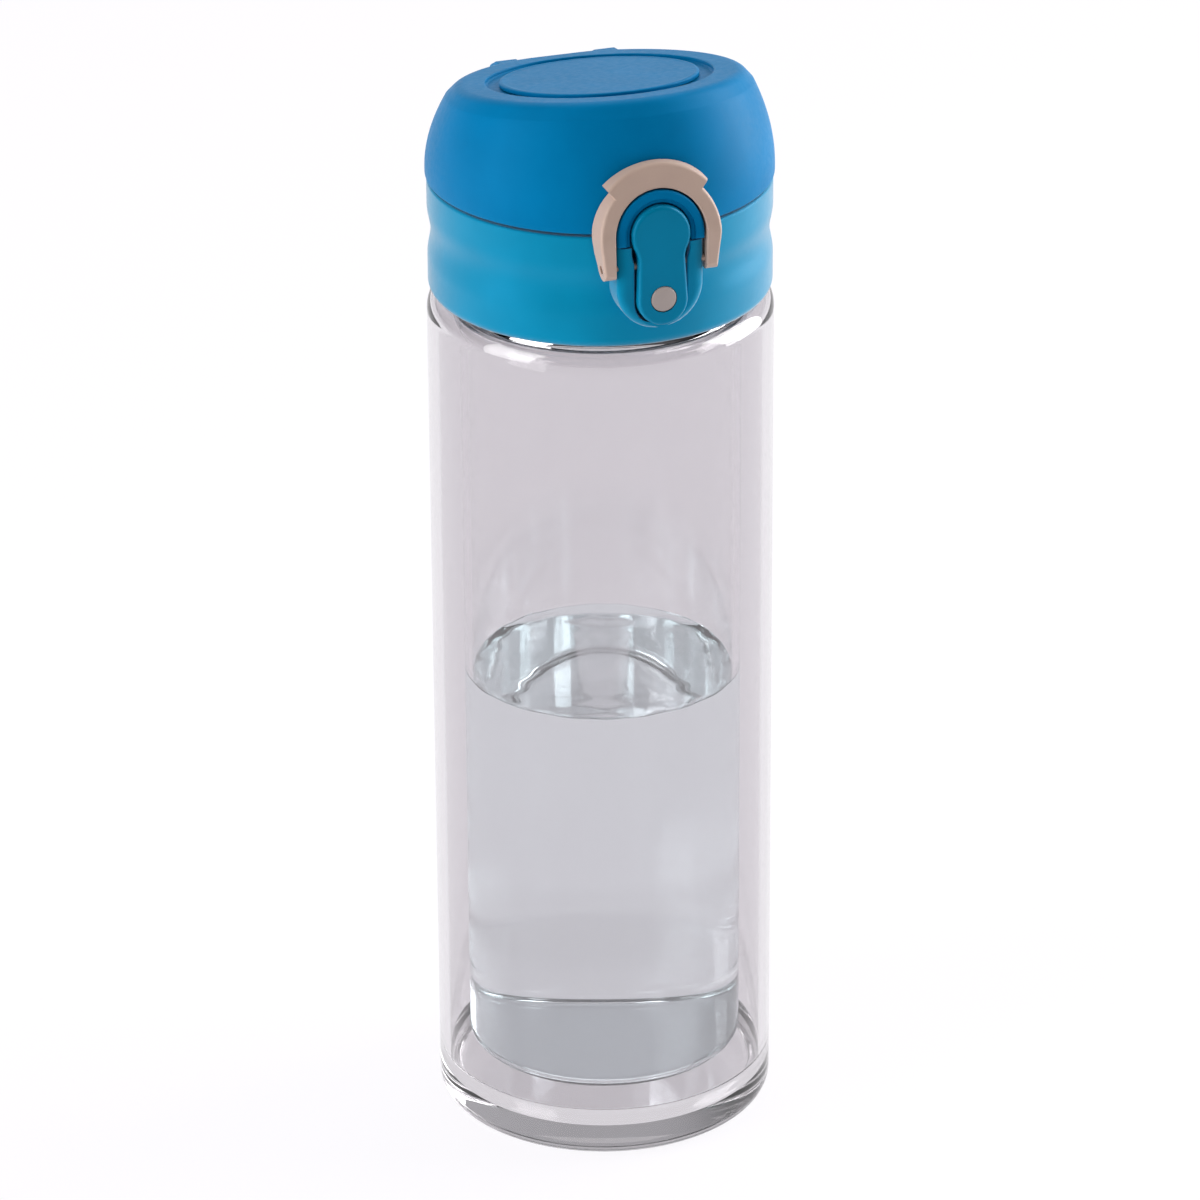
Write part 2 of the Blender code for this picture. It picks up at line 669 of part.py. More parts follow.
def plug(name, flange_r, nub_r, taper, heights, centre_y=0.0):
    """Soft stopper: a flange above and a tapered nub below; heights run downwards."""
    top, step, low = heights
    profile = [(0.0, top), (flange_r, top), (flange_r, step), (nub_r, step)]
    profile += [(nub_r - taper, low), (0.0, low)]
    return turned(name, profile, SILICONE, closed=False, facets=SMALL_FACETS,
                  centre_y=centre_y)


# ------------------------------------------------------------------ the latch

def button_front(z):
    """Y of the button's sloping face at a height."""
    return BUTTON_FACE_Y + BUTTON_FACE_SLOPE * (z - BUTTON_TOP_Z)


def button_back(z):
    return button_front(z) + BUTTON_THICK


def button_outline():
    """Round head, slightly narrower waist and a round lower lobe."""
    head = arc(0.0, BUTTON_TOP_Z, BUTTON_TOP_R, 215, -35, 18)
    shoulder_z = BUTTON_WAIST_Z + 1.3
    waist = [(BUTTON_WAIST_HALF + 0.08, shoulder_z), (BUTTON_WAIST_HALF, BUTTON_WAIST_Z)]
    lobe_points = arc(0.0, BUTTON_LOBE_Z, BUTTON_LOBE_R, 0, -180, 10)
    return head + waist + lobe_points + [(-x, z) for x, z in reversed(waist)]


def latch_button():
    """Rocking button with its catch hook above and pivot boss behind."""
    made = slab("latch_button", button_outline(), button_front, button_back, BUTTON_TEAL)
    hook = box("catch_hook", (-CATCH_HALF, CATCH_HALF), (-37.0, CATCH_HOOK_BACK),
               (CATCH_Z - CATCH_HOOK_THICK / 2, CATCH_Z + CATCH_HOOK_THICK / 2))
    centre = (0, LATCH_PIN_Y, LATCH_PIN_Z)
    boss = rod("pivot_boss", BOSS_R, "X", 2 * BUTTON_WAIST_HALF - 0.4, centre)
    bore = rod("button_bore", LATCH_PIN_R + PIN_PLAY, "X", THROUGH, centre)
    dot_seat = rod("dot_seat", DOT_R + GAP, "Y", 4.0,
                   (0, button_front(DOT_Z) + 1.6 - 2.0, DOT_Z))
    combine(made, "UNION", hook, boss)
    return combine(made, "DIFFERENCE", bore, dot_seat)


def press_dot():
    """Round insert that marks where to press."""
    thick = 1.4
    middle = (0, button_front(DOT_Z) - 0.15 + thick / 2, DOT_Z)
    return rod("press_dot", DOT_R, "Y", thick, middle, RING_BEIGE, SMALL_FACETS)


def ring_front_outline():
    """Front view (x, z) of the lock ring: an arch with legs and a raised crown."""
    crown = arc(0.0, RING_Z, RING_CROWN_R, 90, RING_CROWN_ANGLE, 6)
    side = arc(0.0, RING_Z, RING_R, RING_CROWN_ANGLE - 1.5, RING_SIDE_END, 6)
    bore = arc(0.0, RING_Z, RING_BORE_R, 0, 90, 8)
    foot_z = LATCH_PIN_Z - 4.0
    foot = [(RING_LEG_OUTER_X, foot_z), (RING_LEG_INNER_X, foot_z)]
    right = crown + side + foot + bore
    left = [(-x, z) for x, z in reversed(right[1:-1])]
    return right + left


def ring_side_outline():
    """Side view (y, z) of the lock ring: round feet on the pin, leaning back above."""
    above = RING_TOP_Z + 2.0
    lean = (RING_FRONT_TOP - RING_FRONT) / (RING_TOP_Z - RING_LEAN_Z)
    front = [(RING_FRONT_TOP + 2.0 * lean, above), (RING_FRONT, RING_LEAN_Z)]
    feet = arc(LATCH_PIN_Y, LATCH_PIN_Z, RING_LEG_R, 180, 360, 8)
    rear = [(RING_HEEL, LATCH_PIN_Z + 2.2), (RING_REAR, LATCH_PIN_Z + 4.8), (RING_REAR, above)]
    return front + feet + rear


def lock_ring():
    """Swinging ring that holds the lid shut, fitted to the curve of the lid."""
    made = slab("lock_ring", ring_front_outline(), flush_at(RING_BLANK_FRONT),
                flush_at(RING_BLANK_BACK), RING_BEIGE)
    side = side_slab("ring_side", ring_side_outline(), -20.0, 20.0)
    dome = [(0.0, LID_TOP)] + lid_side(LID_SIDE_START, LID_SIDE_TOP, 6, RING_CLEARANCE)
    dome += [(LID_R + RING_CLEARANCE, 185.0), (0.0, 185.0)]
    dome = tilt(turned("lid_envelope", dome, closed=False, facets=2 * FACETS))
    bore = rod("ring_bore", LATCH_PIN_R + PIN_PLAY, "X", THROUGH, (0, LATCH_PIN_Y, LATCH_PIN_Z))
    combine(made, "INTERSECT", side)
    return combine(made, "DIFFERENCE", dome, bore)


# ------------------------------------------------------------- pins and springs

def hinge_spring():
    """Torsion spring on the hinge pin, one leg on the collar and one on the lid."""
    coil_r, wire_r, turns, per_turn = 1.9, 0.3, 4, 10
    half = SPRING_SLOT_HALF - wire_r - 0.4
    coil = []
    for i in range(turns * per_turn + 1):
        share = i / (turns * per_turn)
        angle = pi / 2 + 2 * pi * turns * share
        coil.append((-half + 2 * half * share, HINGE_Y + coil_r * cos(angle),
                     HINGE_Z + coil_r * sin(angle)))
    lid_leg = [(-half, HINGE_NOTCH_Y + wire_r + GAP, HINGE_Z + coil_r)]
    collar_leg = [(half, HINGE_Y - 3.0, HINGE_Z + coil_r - 0.4)]
    return wire("hinge_spring", lid_leg + coil + collar_leg, wire_r, STEEL)


def button_spring():
    """Small compression spring behind the button's lower lobe."""
    coil_r, wire_r, turns, per_turn = 1.5, 0.25, 3, 10
    low = HOUSING_FLOOR - GAP - wire_r
    high = button_back(DOT_Z) + GAP + wire_r + 0.15
    coil = []
    for i in range(turns * per_turn + 1):
        share = i / (turns * per_turn)
        angle = 2 * pi * turns * share
        coil.append((coil_r * cos(angle), low + (high - low) * share,
                     DOT_Z + coil_r * sin(angle)))
    return wire("button_spring", coil, wire_r, STEEL)


outer_shell()
base_plug()
inner_vessel()
ring("neck_seal", NECK_BORE_R + 0.3, NECK_R, NECK_RIM + GAP, SEAL_TOP, 0.3, SILICONE)
inner_cap()
ring("mouthpiece_gasket", SPOUT_BORE_R + 0.8, SPOUT_FLANGE_R - 1.2, CAP_DECK_TOP + GAP,
     GASKET_TOP, 0.25, SILICONE, SMALL_FACETS)
mouthpiece()
collar()
rod("hinge_pin", HINGE_PIN_R, "X", 2 * EAR_OUTER_X - 0.8, (0, HINGE_Y, HINGE_Z), STEEL)
hinge_spring()
rod("latch_pin", LATCH_PIN_R, "X", 2 * LATCH_PIN_HALF,
    (0, LATCH_PIN_Y, LATCH_PIN_Z), RING_BEIGE)
button_spring()
lid_shell()
lid_top_disc()
lid_liner()
plug("spout_plug", SPOUT_PLUG_FLANGE_R, SPOUT_PLUG_NUB_R, 0.4,
     (LINER_TOP - LINER_WALL - GAP, SPOUT_TOP + 0.4, SPOUT_PLUG_LOW))
plug("vent_plug", VENT_PLUG_FLANGE_R, VENT_PLUG_NUB_R, 0.1,
     (LINER_LOW - GAP, VENT_TOP + GAP, VENT_PLUG_LOW), VENT_Y)
latch_button()
press_dot()
lock_ring()
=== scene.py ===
"""Looks of the double-wall flip-lid bottle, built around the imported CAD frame.

Everything is in metres in the frame of the CAD model: the base's centre is the origin,
+Z is up, the latch faces -Y and the lid's hinge is at +Y. Lengths below are written in
millimetres and multiplied by MM.
"""

from math import cos, pi, radians, sin, sqrt

import bmesh
import bpy
from mathutils import Matrix, Vector


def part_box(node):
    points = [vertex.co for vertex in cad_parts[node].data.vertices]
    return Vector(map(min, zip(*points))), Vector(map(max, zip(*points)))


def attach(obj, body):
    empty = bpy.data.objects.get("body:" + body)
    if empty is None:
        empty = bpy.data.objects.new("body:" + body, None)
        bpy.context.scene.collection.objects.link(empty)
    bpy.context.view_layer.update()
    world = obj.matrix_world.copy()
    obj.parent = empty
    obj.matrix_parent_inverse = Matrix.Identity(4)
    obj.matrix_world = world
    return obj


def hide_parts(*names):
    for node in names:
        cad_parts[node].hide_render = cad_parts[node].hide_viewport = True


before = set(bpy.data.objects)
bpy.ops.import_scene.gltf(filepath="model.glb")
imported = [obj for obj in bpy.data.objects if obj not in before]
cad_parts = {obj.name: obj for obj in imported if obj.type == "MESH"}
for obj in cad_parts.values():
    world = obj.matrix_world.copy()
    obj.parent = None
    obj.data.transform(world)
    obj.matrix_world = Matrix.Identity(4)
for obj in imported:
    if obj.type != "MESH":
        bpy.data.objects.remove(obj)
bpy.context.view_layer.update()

MM = 0.001
TURN_STEPS = 160          # sides of a full turn on visible round pieces
SHARP_ANGLE = 35.0        # an edge that bends further than this is shaded as a crease
EMBED = 0.15              # how far the drink reaches into its vessel's wall, so they meet
THROUGH = 40.0            # length of a cutter that passes right through a piece
OVERSHOOT = 5.0           # how far a cutter reaches past the face it opens
BORE_PLAY = 0.15          # radial play of a pin in its bore

# ---------------------------------------------------------------- sizes read from the frame


def span(node):
    """Lowest and highest corner of a CAD node, in millimetres."""
    low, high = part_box(node)
    return low / MM, high / MM


SHELL_HIGH = span("outer_shell")[1]
VESSEL_LOW, VESSEL_HIGH = span("inner_vessel")
COLLAR_LOW, COLLAR_HIGH = span("collar")
LID_HIGH = span("lid_shell")[1]
PLUG_HIGH = span("base_plug")[1]
BODY_R = SHELL_HIGH.x
VESSEL_R = VESSEL_HIGH.x
COLLAR_R = COLLAR_HIGH.x
LID_R = LID_HIGH.x

# ------------------------------------------------------------------------ body of the bottle
SHELL_WALL = 2.1
SHOULDER_ROUND = 4.0
BASE_ROUND = 3.5
BASE_FLOOR = PLUG_HIGH.z
SEAT_CHAMFER_LOW = 7.0
SEAT_CHAMFER_TOP = 10.6
NECK_R = 25.0
NECK_BORE_R = 22.8
VESSEL_WALL = 1.5
VESSEL_CORNER = 3.2
VESSEL_SHOULDER_LOW = 171.0
VESSEL_SHOULDER_TOP = 174.9
WATER_LEVEL = 95.4
MENISCUS_RISE = 1.0
MENISCUS_REACH = 3.0
RIPPLE = 0.14
RIPPLE_WAVES = ((0.62, 0.40, 0.0), (-0.27, 0.56, 0.8))    # wave numbers in x and y, phase

# ------------------------------------------------------------------------------ cap and lid
COLLAR_TOP = 201.0
COLLAR_BORE_R = 31.6
DECK_LOW = 196.1
DECK_TOP = 197.7
WAIST_TOP = 195.5
WAIST_LOW = 184.7
WAIST_DEPTH = 0.7
COLLAR_RIM_EDGE = 0.5
COLLAR_FOOT_ROUND = 1.8
SPOUT_R = 9.0
SPOUT_BORE_R = 7.0
SPOUT_TOP = 209.0
SPOUT_FLANGE_R = 13.5
SPOUT_FLANGE_LOW = 194.6
SPOUT_FLANGE_TOP = 195.8
VENT_Y = 15.0
VENT_HOLE_R = 2.8
LID_RIM = 201.6
LID_WALL = 2.0
LID_SIDE_START = 203.0
LID_SIDE_RATE = 0.0248
LID_SIDE_POWER = 1.87
LID_SIDE_TOP = 218.4
LID_TOP = 221.0
LID_TILT = 0.19
LID_CROWN_R = 27.6
LID_CROWN_ROUND = 3.2
LID_ROOF_THICK = 3.0
LID_CEILING_R = 25.8
DISC_R = 19.3
DISC_RIM_RISE = 0.12
RECESS_R = 22.0
RECESS_FLOOR = 220.0
RECESS_EDGE = 0.35
HINGE_Y = 34.6
HINGE_Z = 205.5
HINGE_PIN_R = 1.0
KNUCKLE_R = 3.2
KNUCKLE_HALF = 7.6
KNUCKLE_FOOT_IN = 1.3
KNUCKLE_FOOT_OUT = 1.2
KNUCKLE_FOOT_DROP = 3.0
SPRING_SLOT_HALF = 3.7
SPRING_SLOT_DROP = 3.4
SPRING_SLOT_REACH = 6.0
EAR_R = 3.3
EAR_OUTER_X = 12.4
EAR_OUTLINE = [(HINGE_Y + 1.0, 210.0), (31.2, 213.7, 3.0), (28.0, 215.4, 1.5), (22.5, 216.4),
               (22.5, 214.5), (27.0, 211.5), (31.0, 204.0), (31.6, 202.4)]
NOTCH_Y = 25.8
NOTCH_REACH = 45.0
NOTCH_WALL_SIDE = 2.2
NOTCH_WALL_TOP = 214.4
GAP = 0.3

# ----------------------------------------------------------------------------------- latch
PIN_Y = -35.9
PIN_Z = 196.0
PIN_R = 0.7
HOUSING_HALF = 8.6
HOUSING_TOP = 200.2
HOUSING_LOW = 183.0
HOUSING_FRONT = -37.3
CHEEK_ROUND = 2.4
CHEEK_DROP = 1.1
HOUSING_FLOOR = -33.2
SLOT_HALF = 5.25
SLOT_TOP_HALF = 5.75
SLOT_FLARE_LOW = 196.6
SLOT_FLARE_TOP = 198.6
SLOT_RISE = 0.7
SLOT_EDGE = 0.3
BUTTON_TOP_R = 5.8
BUTTON_TOP_Z = 202.2
BUTTON_WAIST_HALF = 4.6
BUTTON_WAIST_Z = 198.0
BUTTON_LOBE_R = 4.95
BUTTON_LOBE_Z = 189.4
BUTTON_THICK = 2.4
BUTTON_FACE_Y = -38.05
BUTTON_FACE_SLOPE = 0.075
DOT_R = 2.5
DOT_Z = 189.7
DOT_THICK = 1.4
DOT_PROUD = 0.10
DOT_SEAT_DEPTH = 1.6
DOT_SEAT_CUTTER = 4.0
DOT_SEAT_PLAY = 0.12
BOSS_R = 1.5
CATCH_Z = 205.2
CATCH_HALF = 2.7
CATCH_HOOK_Y = (-37.0, -32.9)
CATCH_HOOK_HALF_THICK = 0.9
CATCH_SLOT_SIDE = 0.5
CATCH_SLOT_Y = (-38.0, -32.4)
CATCH_SLOT_DROP = 1.3
CATCH_SLOT_RISE = 1.4
ARCH_R = 8.75
ARCH_Z = 201.9
ARCH_LOW = 200.5
ARCH_FACE_Y = -37.6
ARCH_FACE_SLOPE = 0.13
ARCH_BACK = -31.4
ARCH_EDGE = 0.45
ARCH_LIP = 0.75
ARCH_LIP_DROP = 0.35
RING_Z = 201.9
RING_BORE_R = 9.1
RING_R = 12.1
RING_CROWN_R = 13.9
RING_CROWN_ANGLE = 44.0
RING_SIDE_END = -12.0
RING_FRONT = -38.0
RING_FRONT_TOP = -34.6
RING_LEAN_Z = 202.0
RING_TOP_Z = 216.0
RING_LEG_R = 2.2
RING_LEG_OUTER_X = 11.0
RING_LEG_INNER_X = 8.95
RING_FOOT_DROP = 4.0
RING_BACK = -28.0
RING_BORE_EDGE = 0.35
RING_RIM_EDGE = 0.7
RING_SIDE_TOP = 219.0
RING_HEEL = [(-33.7, 196.0), (-32.4, 198.2, 1.0), (-29.3, 200.8, 1.0), (-29.3, RING_SIDE_TOP)]
RING_CLEARANCE = 0.4
RING_ENVELOPE_LOW = 185.0

# ---------------------------------------------------------------------- camera, floor, light
CAMERA_AZIMUTH = -18.0
CAMERA_PITCH = 25.42
CAMERA_ROLL = -0.33
CAMERA_DISTANCE = 1.2774
CAMERA_AIM_Z = 0.110
CAMERA_AIM_LEFT = 0.00042
CAMERA_AIM_DOWN = 0.00084
LENS = 191.5
SENSOR = 36.0
WORLD_FRONT = 0.06
WORLD_BACK = 0.80
WORLD_BRIGHT_SIDE = (0.6, 0.8, 0.0)
WORLD_FADE_START = 0.25
WORLD_FADE_END = 0.80
LIGHT_AIM_Z = 0.14
SOFTBOXES = (             # name, azimuth, height, distance, width, length, watts
    ("softbox_right", 88.0, 0.42, 0.9, 0.70, 1.0, 15.5),
    ("softbox_left", -80.0, 0.42, 0.9, 0.60, 1.0, 10.0),
    ("overhead", 165.0, 1.2, 0.5, 0.9, 0.9, 5.0),
)
FLOOR_HALF = 6.0
FLOOR_DROP = 0.0003
FLOOR_TONE = 0.07
FLOOR_GLOW = 0.95
FLOOR_GLOW_COLOUR = (0.985, 0.97, 1.0, 1.0)
SHEEN_ROUGHNESS = 0.35


# ============================================================================= shape helpers


def arc(centre_r, centre_z, radius, start, end, steps):
    """Points on a circle arc, angles in degrees, both ends included."""
    turn = [radians(start + (end - start) * i / steps) for i in range(steps + 1)]
    return [(centre_r + radius * cos(a), centre_z + radius * sin(a)) for a in turn]


def rounded(points, closed=True, steps=5):
    """Fillet an outline. Each point is (u, v) for a sharp corner or (u, v, radius)."""
    out = []
    count = len(points)
    for i, point in enumerate(points):
        here = Vector(point[:2])
        radius = point[2] if len(point) > 2 else 0.0
        ends = not closed and i in (0, count - 1)
        if radius <= 0 or ends:
            out.append((here.x, here.y))
            continue
        before = (Vector(points[i - 1][:2]) - here)
        after = (Vector(points[(i + 1) % count][:2]) - here)
        reach = radius / max(0.02, sin(before.angle(after) / 2)) * cos(before.angle(after) / 2)
        reach = min(reach, before.length * 0.499, after.length * 0.499)
        start = here + before.normalized() * reach
        end = here + after.normalized() * reach
        for k in range(steps + 1):
            t = k / steps
            bend = start * (1 - t) ** 2 + here * 2 * t * (1 - t) + end * t ** 2
            out.append((bend.x, bend.y))
    return out


def finished(name, shape, finish, angle=SHARP_ANGLE):
    """Turn a bmesh into a smooth-shaded object in the scene."""
    bmesh.ops.recalc_face_normals(shape, faces=shape.faces)
    mesh = bpy.data.meshes.new(name)
    shape.to_mesh(mesh)
    shape.free()
    mesh.shade_smooth()
    mesh.set_sharp_from_angle(angle=radians(angle))
    made = bpy.data.objects.new(name, mesh)
    bpy.context.scene.collection.objects.link(made)
    if finish:
        mesh.materials.append(finish)
    return made


def held(profile, closed, reach=0.25):
    """Add points near both ends of long straight runs, so that they shade as straight."""
    out = []
    count = len(profile)
    for i, here in enumerate(profile):
        out.append(here)
        if i == count - 1 and not closed:
            break
        there = profile[(i + 1) % count]
        run = Vector(there) - Vector(here)
        if run.length > 4 * reach:
            step = run.normalized() * reach
            out.append((here[0] + step.x, here[1] + step.y))
            out.append((there[0] - step.x, there[1] - step.y))
    return out


def turned(name, profile, finish, closed=True):
    """A profile of (radius, height) turned about the bottle's axis."""
    shape = bmesh.new()
    turn = [2 * pi * i / TURN_STEPS for i in range(TURN_STEPS)]
    rings = []
    for r, z in held(profile, closed):
        if r < 0.001:
            rings.append([shape.verts.new((0.0, 0.0, z * MM))])
        else:
            rings.append([shape.verts.new((r * cos(a) * MM, r * sin(a) * MM, z * MM))
                          for a in turn])
    pairs = list(zip(rings, rings[1:]))
    if closed:
        pairs.append((rings[-1], rings[0]))
    for upper, lower in pairs:
        for i in range(TURN_STEPS):
            j = (i + 1) % TURN_STEPS
            corners = [upper[i % len(upper)], upper[j % len(upper)],
                       lower[j % len(lower)], lower[i % len(lower)]]
            unique = list(dict.fromkeys(corners))
            if len(unique) > 2:
                shape.faces.new(unique)
    return finished(name, shape, finish)


def level(y):
    """A flat surface for slab(): the same Y at every point."""
    return lambda _x, _z: y


def slab(name, outline, front, back, finish=None, edge=0.0, edge_steps=3):
    """Extrude an outline of (x, z) along Y between front(x, z) and back(x, z).

    edge rounds the rim of the front face.
    """
    shape = bmesh.new()
    near = [shape.verts.new((x * MM, front(x, z) * MM, z * MM)) for x, z in outline]
    far = [shape.verts.new((x * MM, back(x, z) * MM, z * MM)) for x, z in outline]
    face = shape.faces.new(near)
    shape.faces.new(list(reversed(far)))
    for i in range(len(outline)):
        j = (i + 1) % len(outline)
        shape.faces.new((near[j], near[i], far[i], far[j]))
    if edge:
        bmesh.ops.recalc_face_normals(shape, faces=shape.faces)
        bmesh.ops.bevel(shape, geom=list(face.edges), offset=edge * MM, segments=edge_steps,
                        profile=0.5, affect="EDGES")
    return finished(name, shape, finish)


def edged(width, inner_edge, outer_edge, steps=5, drop=None):
    """Section of a strip whose front has two rounded edges, as (distance, depth).

    A depth of None stands for the strip's back. drop is the depth of the outer edge, if it
    isn't a quarter circle.
    """
    drop = outer_edge if drop is None else drop
    turn = [pi / 2 * i / steps for i in range(steps + 1)]
    near = [(inner_edge * (1 - cos(a)), inner_edge * (1 - sin(a))) for a in turn]
    far = [(width - outer_edge * (1 - sin(a)), drop * (1 - cos(a))) for a in turn]
    return [(0.0, None)] + near + far + [(width, None)]


def strip(name, inner, outer, front, back, section, finish=None, angle=SHARP_ANGLE):
    """A solid that runs between two (x, z) lines of equal length, facing -Y.

    section(width, z) gives its cross-section from the inner line to the outer one.
    """
    shape = bmesh.new()
    rows = []
    for (x, z), (out_x, out_z) in zip(inner, outer):
        across = Vector((out_x - x, out_z - z))
        way = across.normalized()
        row = []
        for distance, depth in section(across.length, z):
            at_x, at_z = x + way.x * distance, z + way.y * distance
            y = back(at_x, at_z) if depth is None else front(at_x, at_z) + depth
            row.append(shape.verts.new((at_x * MM, y * MM, at_z * MM)))
        rows.append(row)
    for row, after in zip(rows, rows[1:]):
        for i in range(len(row)):
            j = (i + 1) % len(row)
            shape.faces.new((row[i], row[j], after[j], after[i]))
    shape.faces.new(rows[0])
    shape.faces.new(list(reversed(rows[-1])))
    return finished(name, shape, finish, angle)


def side_slab(name, outline, low_x, high_x, edge=0.0):
    """Extrude an outline of (y, z) along X; edge rounds both of its rims."""
    shape = bmesh.new()
    near = [shape.verts.new((low_x * MM, y * MM, z * MM)) for y, z in outline]
    far = [shape.verts.new((high_x * MM, y * MM, z * MM)) for y, z in outline]
    faces = [shape.faces.new(near), shape.faces.new(list(reversed(far)))]
    for i in range(len(outline)):
        j = (i + 1) % len(outline)
        shape.faces.new((near[j], near[i], far[i], far[j]))
    if edge:
        bmesh.ops.recalc_face_normals(shape, faces=shape.faces)
        rims = [rim for face in faces for rim in face.edges]
        bmesh.ops.bevel(shape, geom=rims, offset=edge * MM, segments=3, profile=0.5,
                        affect="EDGES")
    return finished(name, shape, None)


def block(name, x, y, z):
    """A box from three (low, high) pairs."""
    shape = bmesh.new()
    bmesh.ops.create_cube(shape, size=1.0)
    for vert in shape.verts:
        for axis, (low, high) in enumerate((x, y, z)):
            vert.co[axis] = ((low + high) / 2 + (high - low) * vert.co[axis]) * MM
    return finished(name, shape, None)


def rod(name, radius, along, length, centre, finish=None, steps=48, edge=0.0):
    """A round bar along X, Y or Z about its centre, with rounded ends if edge is given."""
    shape = bmesh.new()
    bmesh.ops.create_cone(shape, cap_ends=True, segments=steps, radius1=radius * MM,
                          radius2=radius * MM, depth=length * MM)
    if edge:
        bmesh.ops.recalc_face_normals(shape, faces=shape.faces)
        rims = [e for e in shape.edges if abs(e.verts[0].co.z - e.verts[1].co.z) < 1e-7]
        bmesh.ops.bevel(shape, geom=rims, offset=edge * MM, segments=3, profile=0.5,
                        affect="EDGES")
    spin = {"X": Matrix.Rotation(pi / 2, 4, "Y"), "Y": Matrix.Rotation(pi / 2, 4, "X"),
            "Z": Matrix.Identity(4)}[along]
    bmesh.ops.transform(shape, matrix=spin, verts=shape.verts)
    bmesh.ops.translate(shape, vec=[c * MM for c in centre], verts=shape.verts)
    return finished(name, shape, finish)


def combine(target, operation, *tools):
    """Join or cut a piece with tools, apply the result and remove the tools."""
    for tool in tools:
        step = target.modifiers.new(operation, "BOOLEAN")
        step.operation = operation
        step.solver = "EXACT"
        step.object = tool
    graph = bpy.context.evaluated_depsgraph_get()
    mesh = bpy.data.meshes.new_from_object(target.evaluated_get(graph))
    target.modifiers.clear()
    target.data = mesh
    for tool in tools:
        bpy.data.objects.remove(tool, do_unlink=True)
    mesh.shade_smooth()
    mesh.set_sharp_from_angle(angle=radians(SHARP_ANGLE))
    return target


def weighted(piece):
    """Let large faces lead the shading where a cut has left thin ones."""
    step = piece.modifiers.new("weighted_normals", "WEIGHTED_NORMAL")
    step.keep_sharp = True
    step.weight = 80
    return piece


def place(piece, body, slot, *nodes):
    """Tie a finished piece to its CAD body and hide the CAD nodes it stands for; slot is not used.
    """
    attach(piece, body)
    if nodes:
        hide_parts(*nodes)
    return piece


# ================================================================================= materials


def new_material(name):
    made = bpy.data.materials.new(name)
    made.use_nodes = True
    tree = made.node_tree
    return made, tree, tree.nodes["Principled BSDF"]


def noise(tree, scale, detail=2.0, roughness=0.5):
    """A noise texture in object space; scale is features per metre."""
    place_at = tree.nodes.new("ShaderNodeTexCoord")
    made = tree.nodes.new("ShaderNodeTexNoise")
    made.inputs["Scale"].default_value = scale
    made.inputs["Detail"].default_value = detail
    made.inputs["Roughness"].default_value = roughness
    tree.links.new(place_at.outputs["Object"], made.inputs["Vector"])
    return made.outputs["Fac"]


def ramp(tree, source, low, high, start=0.3, end=0.7):
    """Map a value onto numbers or colours between low and high."""
    made = tree.nodes.new("ShaderNodeValToRGB")
    made.color_ramp.elements[0].position = start
    made.color_ramp.elements[1].position = end
    for element, value in zip(made.color_ramp.elements, (low, high)):
        element.color = value if isinstance(value, tuple) else (value, value, value, 1)
    tree.links.new(source, made.inputs["Fac"])
    return made.outputs["Color"]


def bump(tree, shader, height, distance, strength):
    made = tree.nodes.new("ShaderNodeBump")
    made.inputs["Distance"].default_value = distance
    made.inputs["Strength"].default_value = strength
    tree.links.new(height, made.inputs["Height"])
    tree.links.new(made.outputs["Normal"], shader.inputs["Normal"])


def satin_plastic(name, colour, roughness=0.42, specular=0.25, sheen=(1, 1, 1), bloom=0.0):
    """Moulded plastic with a fine etched grain and slight variation of tone.

    sheen tints its gloss; bloom is the pale haze a matt surface shows at grazing angles.
    """
    made, tree, shader = new_material(name)
    dark = tuple(c * 0.94 for c in colour) + (1.0,)
    light = tuple(min(1.0, c * 1.05) for c in colour) + (1.0,)
    tone = ramp(tree, noise(tree, 90.0, 4.0), dark, light)
    tree.links.new(tone, shader.inputs["Base Color"])
    rough = ramp(tree, noise(tree, 900.0, 3.0), roughness - 0.04, roughness + 0.05)
    tree.links.new(rough, shader.inputs["Roughness"])
    shader.inputs["Specular IOR Level"].default_value = specular
    shader.inputs["Specular Tint"].default_value = (*sheen, 1.0)
    shader.inputs["Sheen Weight"].default_value = bloom
    shader.inputs["Sheen Roughness"].default_value = SHEEN_ROUGHNESS
    bump(tree, shader, noise(tree, 4200.0, 2.0), 0.00002, 0.6)
    return made


def clear_plastic(name, tint, ior, wear, density=0.0):
    """Clear moulded plastic with faint handling marks in its gloss.

    density darkens long paths through the plastic, such as those along its edges.
    """
    made, tree, shader = new_material(name)
    shader.inputs["Base Color"].default_value = (*tint, 1.0)
    shader.inputs["Transmission Weight"].default_value = 1.0
    shader.inputs["IOR"].default_value = ior
    gloss = ramp(tree, noise(tree, 60.0, 5.0, 0.7), 0.0, wear, 0.45, 0.8)
    tree.links.new(gloss, shader.inputs["Roughness"])
    bump(tree, shader, noise(tree, 45.0, 1.0), 0.00003, 0.12)
    if density:
        depth = tree.nodes.new("ShaderNodeVolumeAbsorption")
        depth.inputs["Color"].default_value = (0.0, 0.0, 0.0, 1.0)
        depth.inputs["Density"].default_value = density
        tree.links.new(depth.outputs["Volume"],
                       tree.nodes["Material Output"].inputs["Volume"])
    return made


def metal(name):
    made, tree, shader = new_material(name)
    shader.inputs["Metallic"].default_value = 1.0
    tone = ramp(tree, noise(tree, 1500.0), (0.50, 0.50, 0.51, 1), (0.66, 0.66, 0.67, 1))
    tree.links.new(tone, shader.inputs["Base Color"])
    rough = ramp(tree, noise(tree, 3000.0), 0.18, 0.32)
    tree.links.new(rough, shader.inputs["Roughness"])
    return made


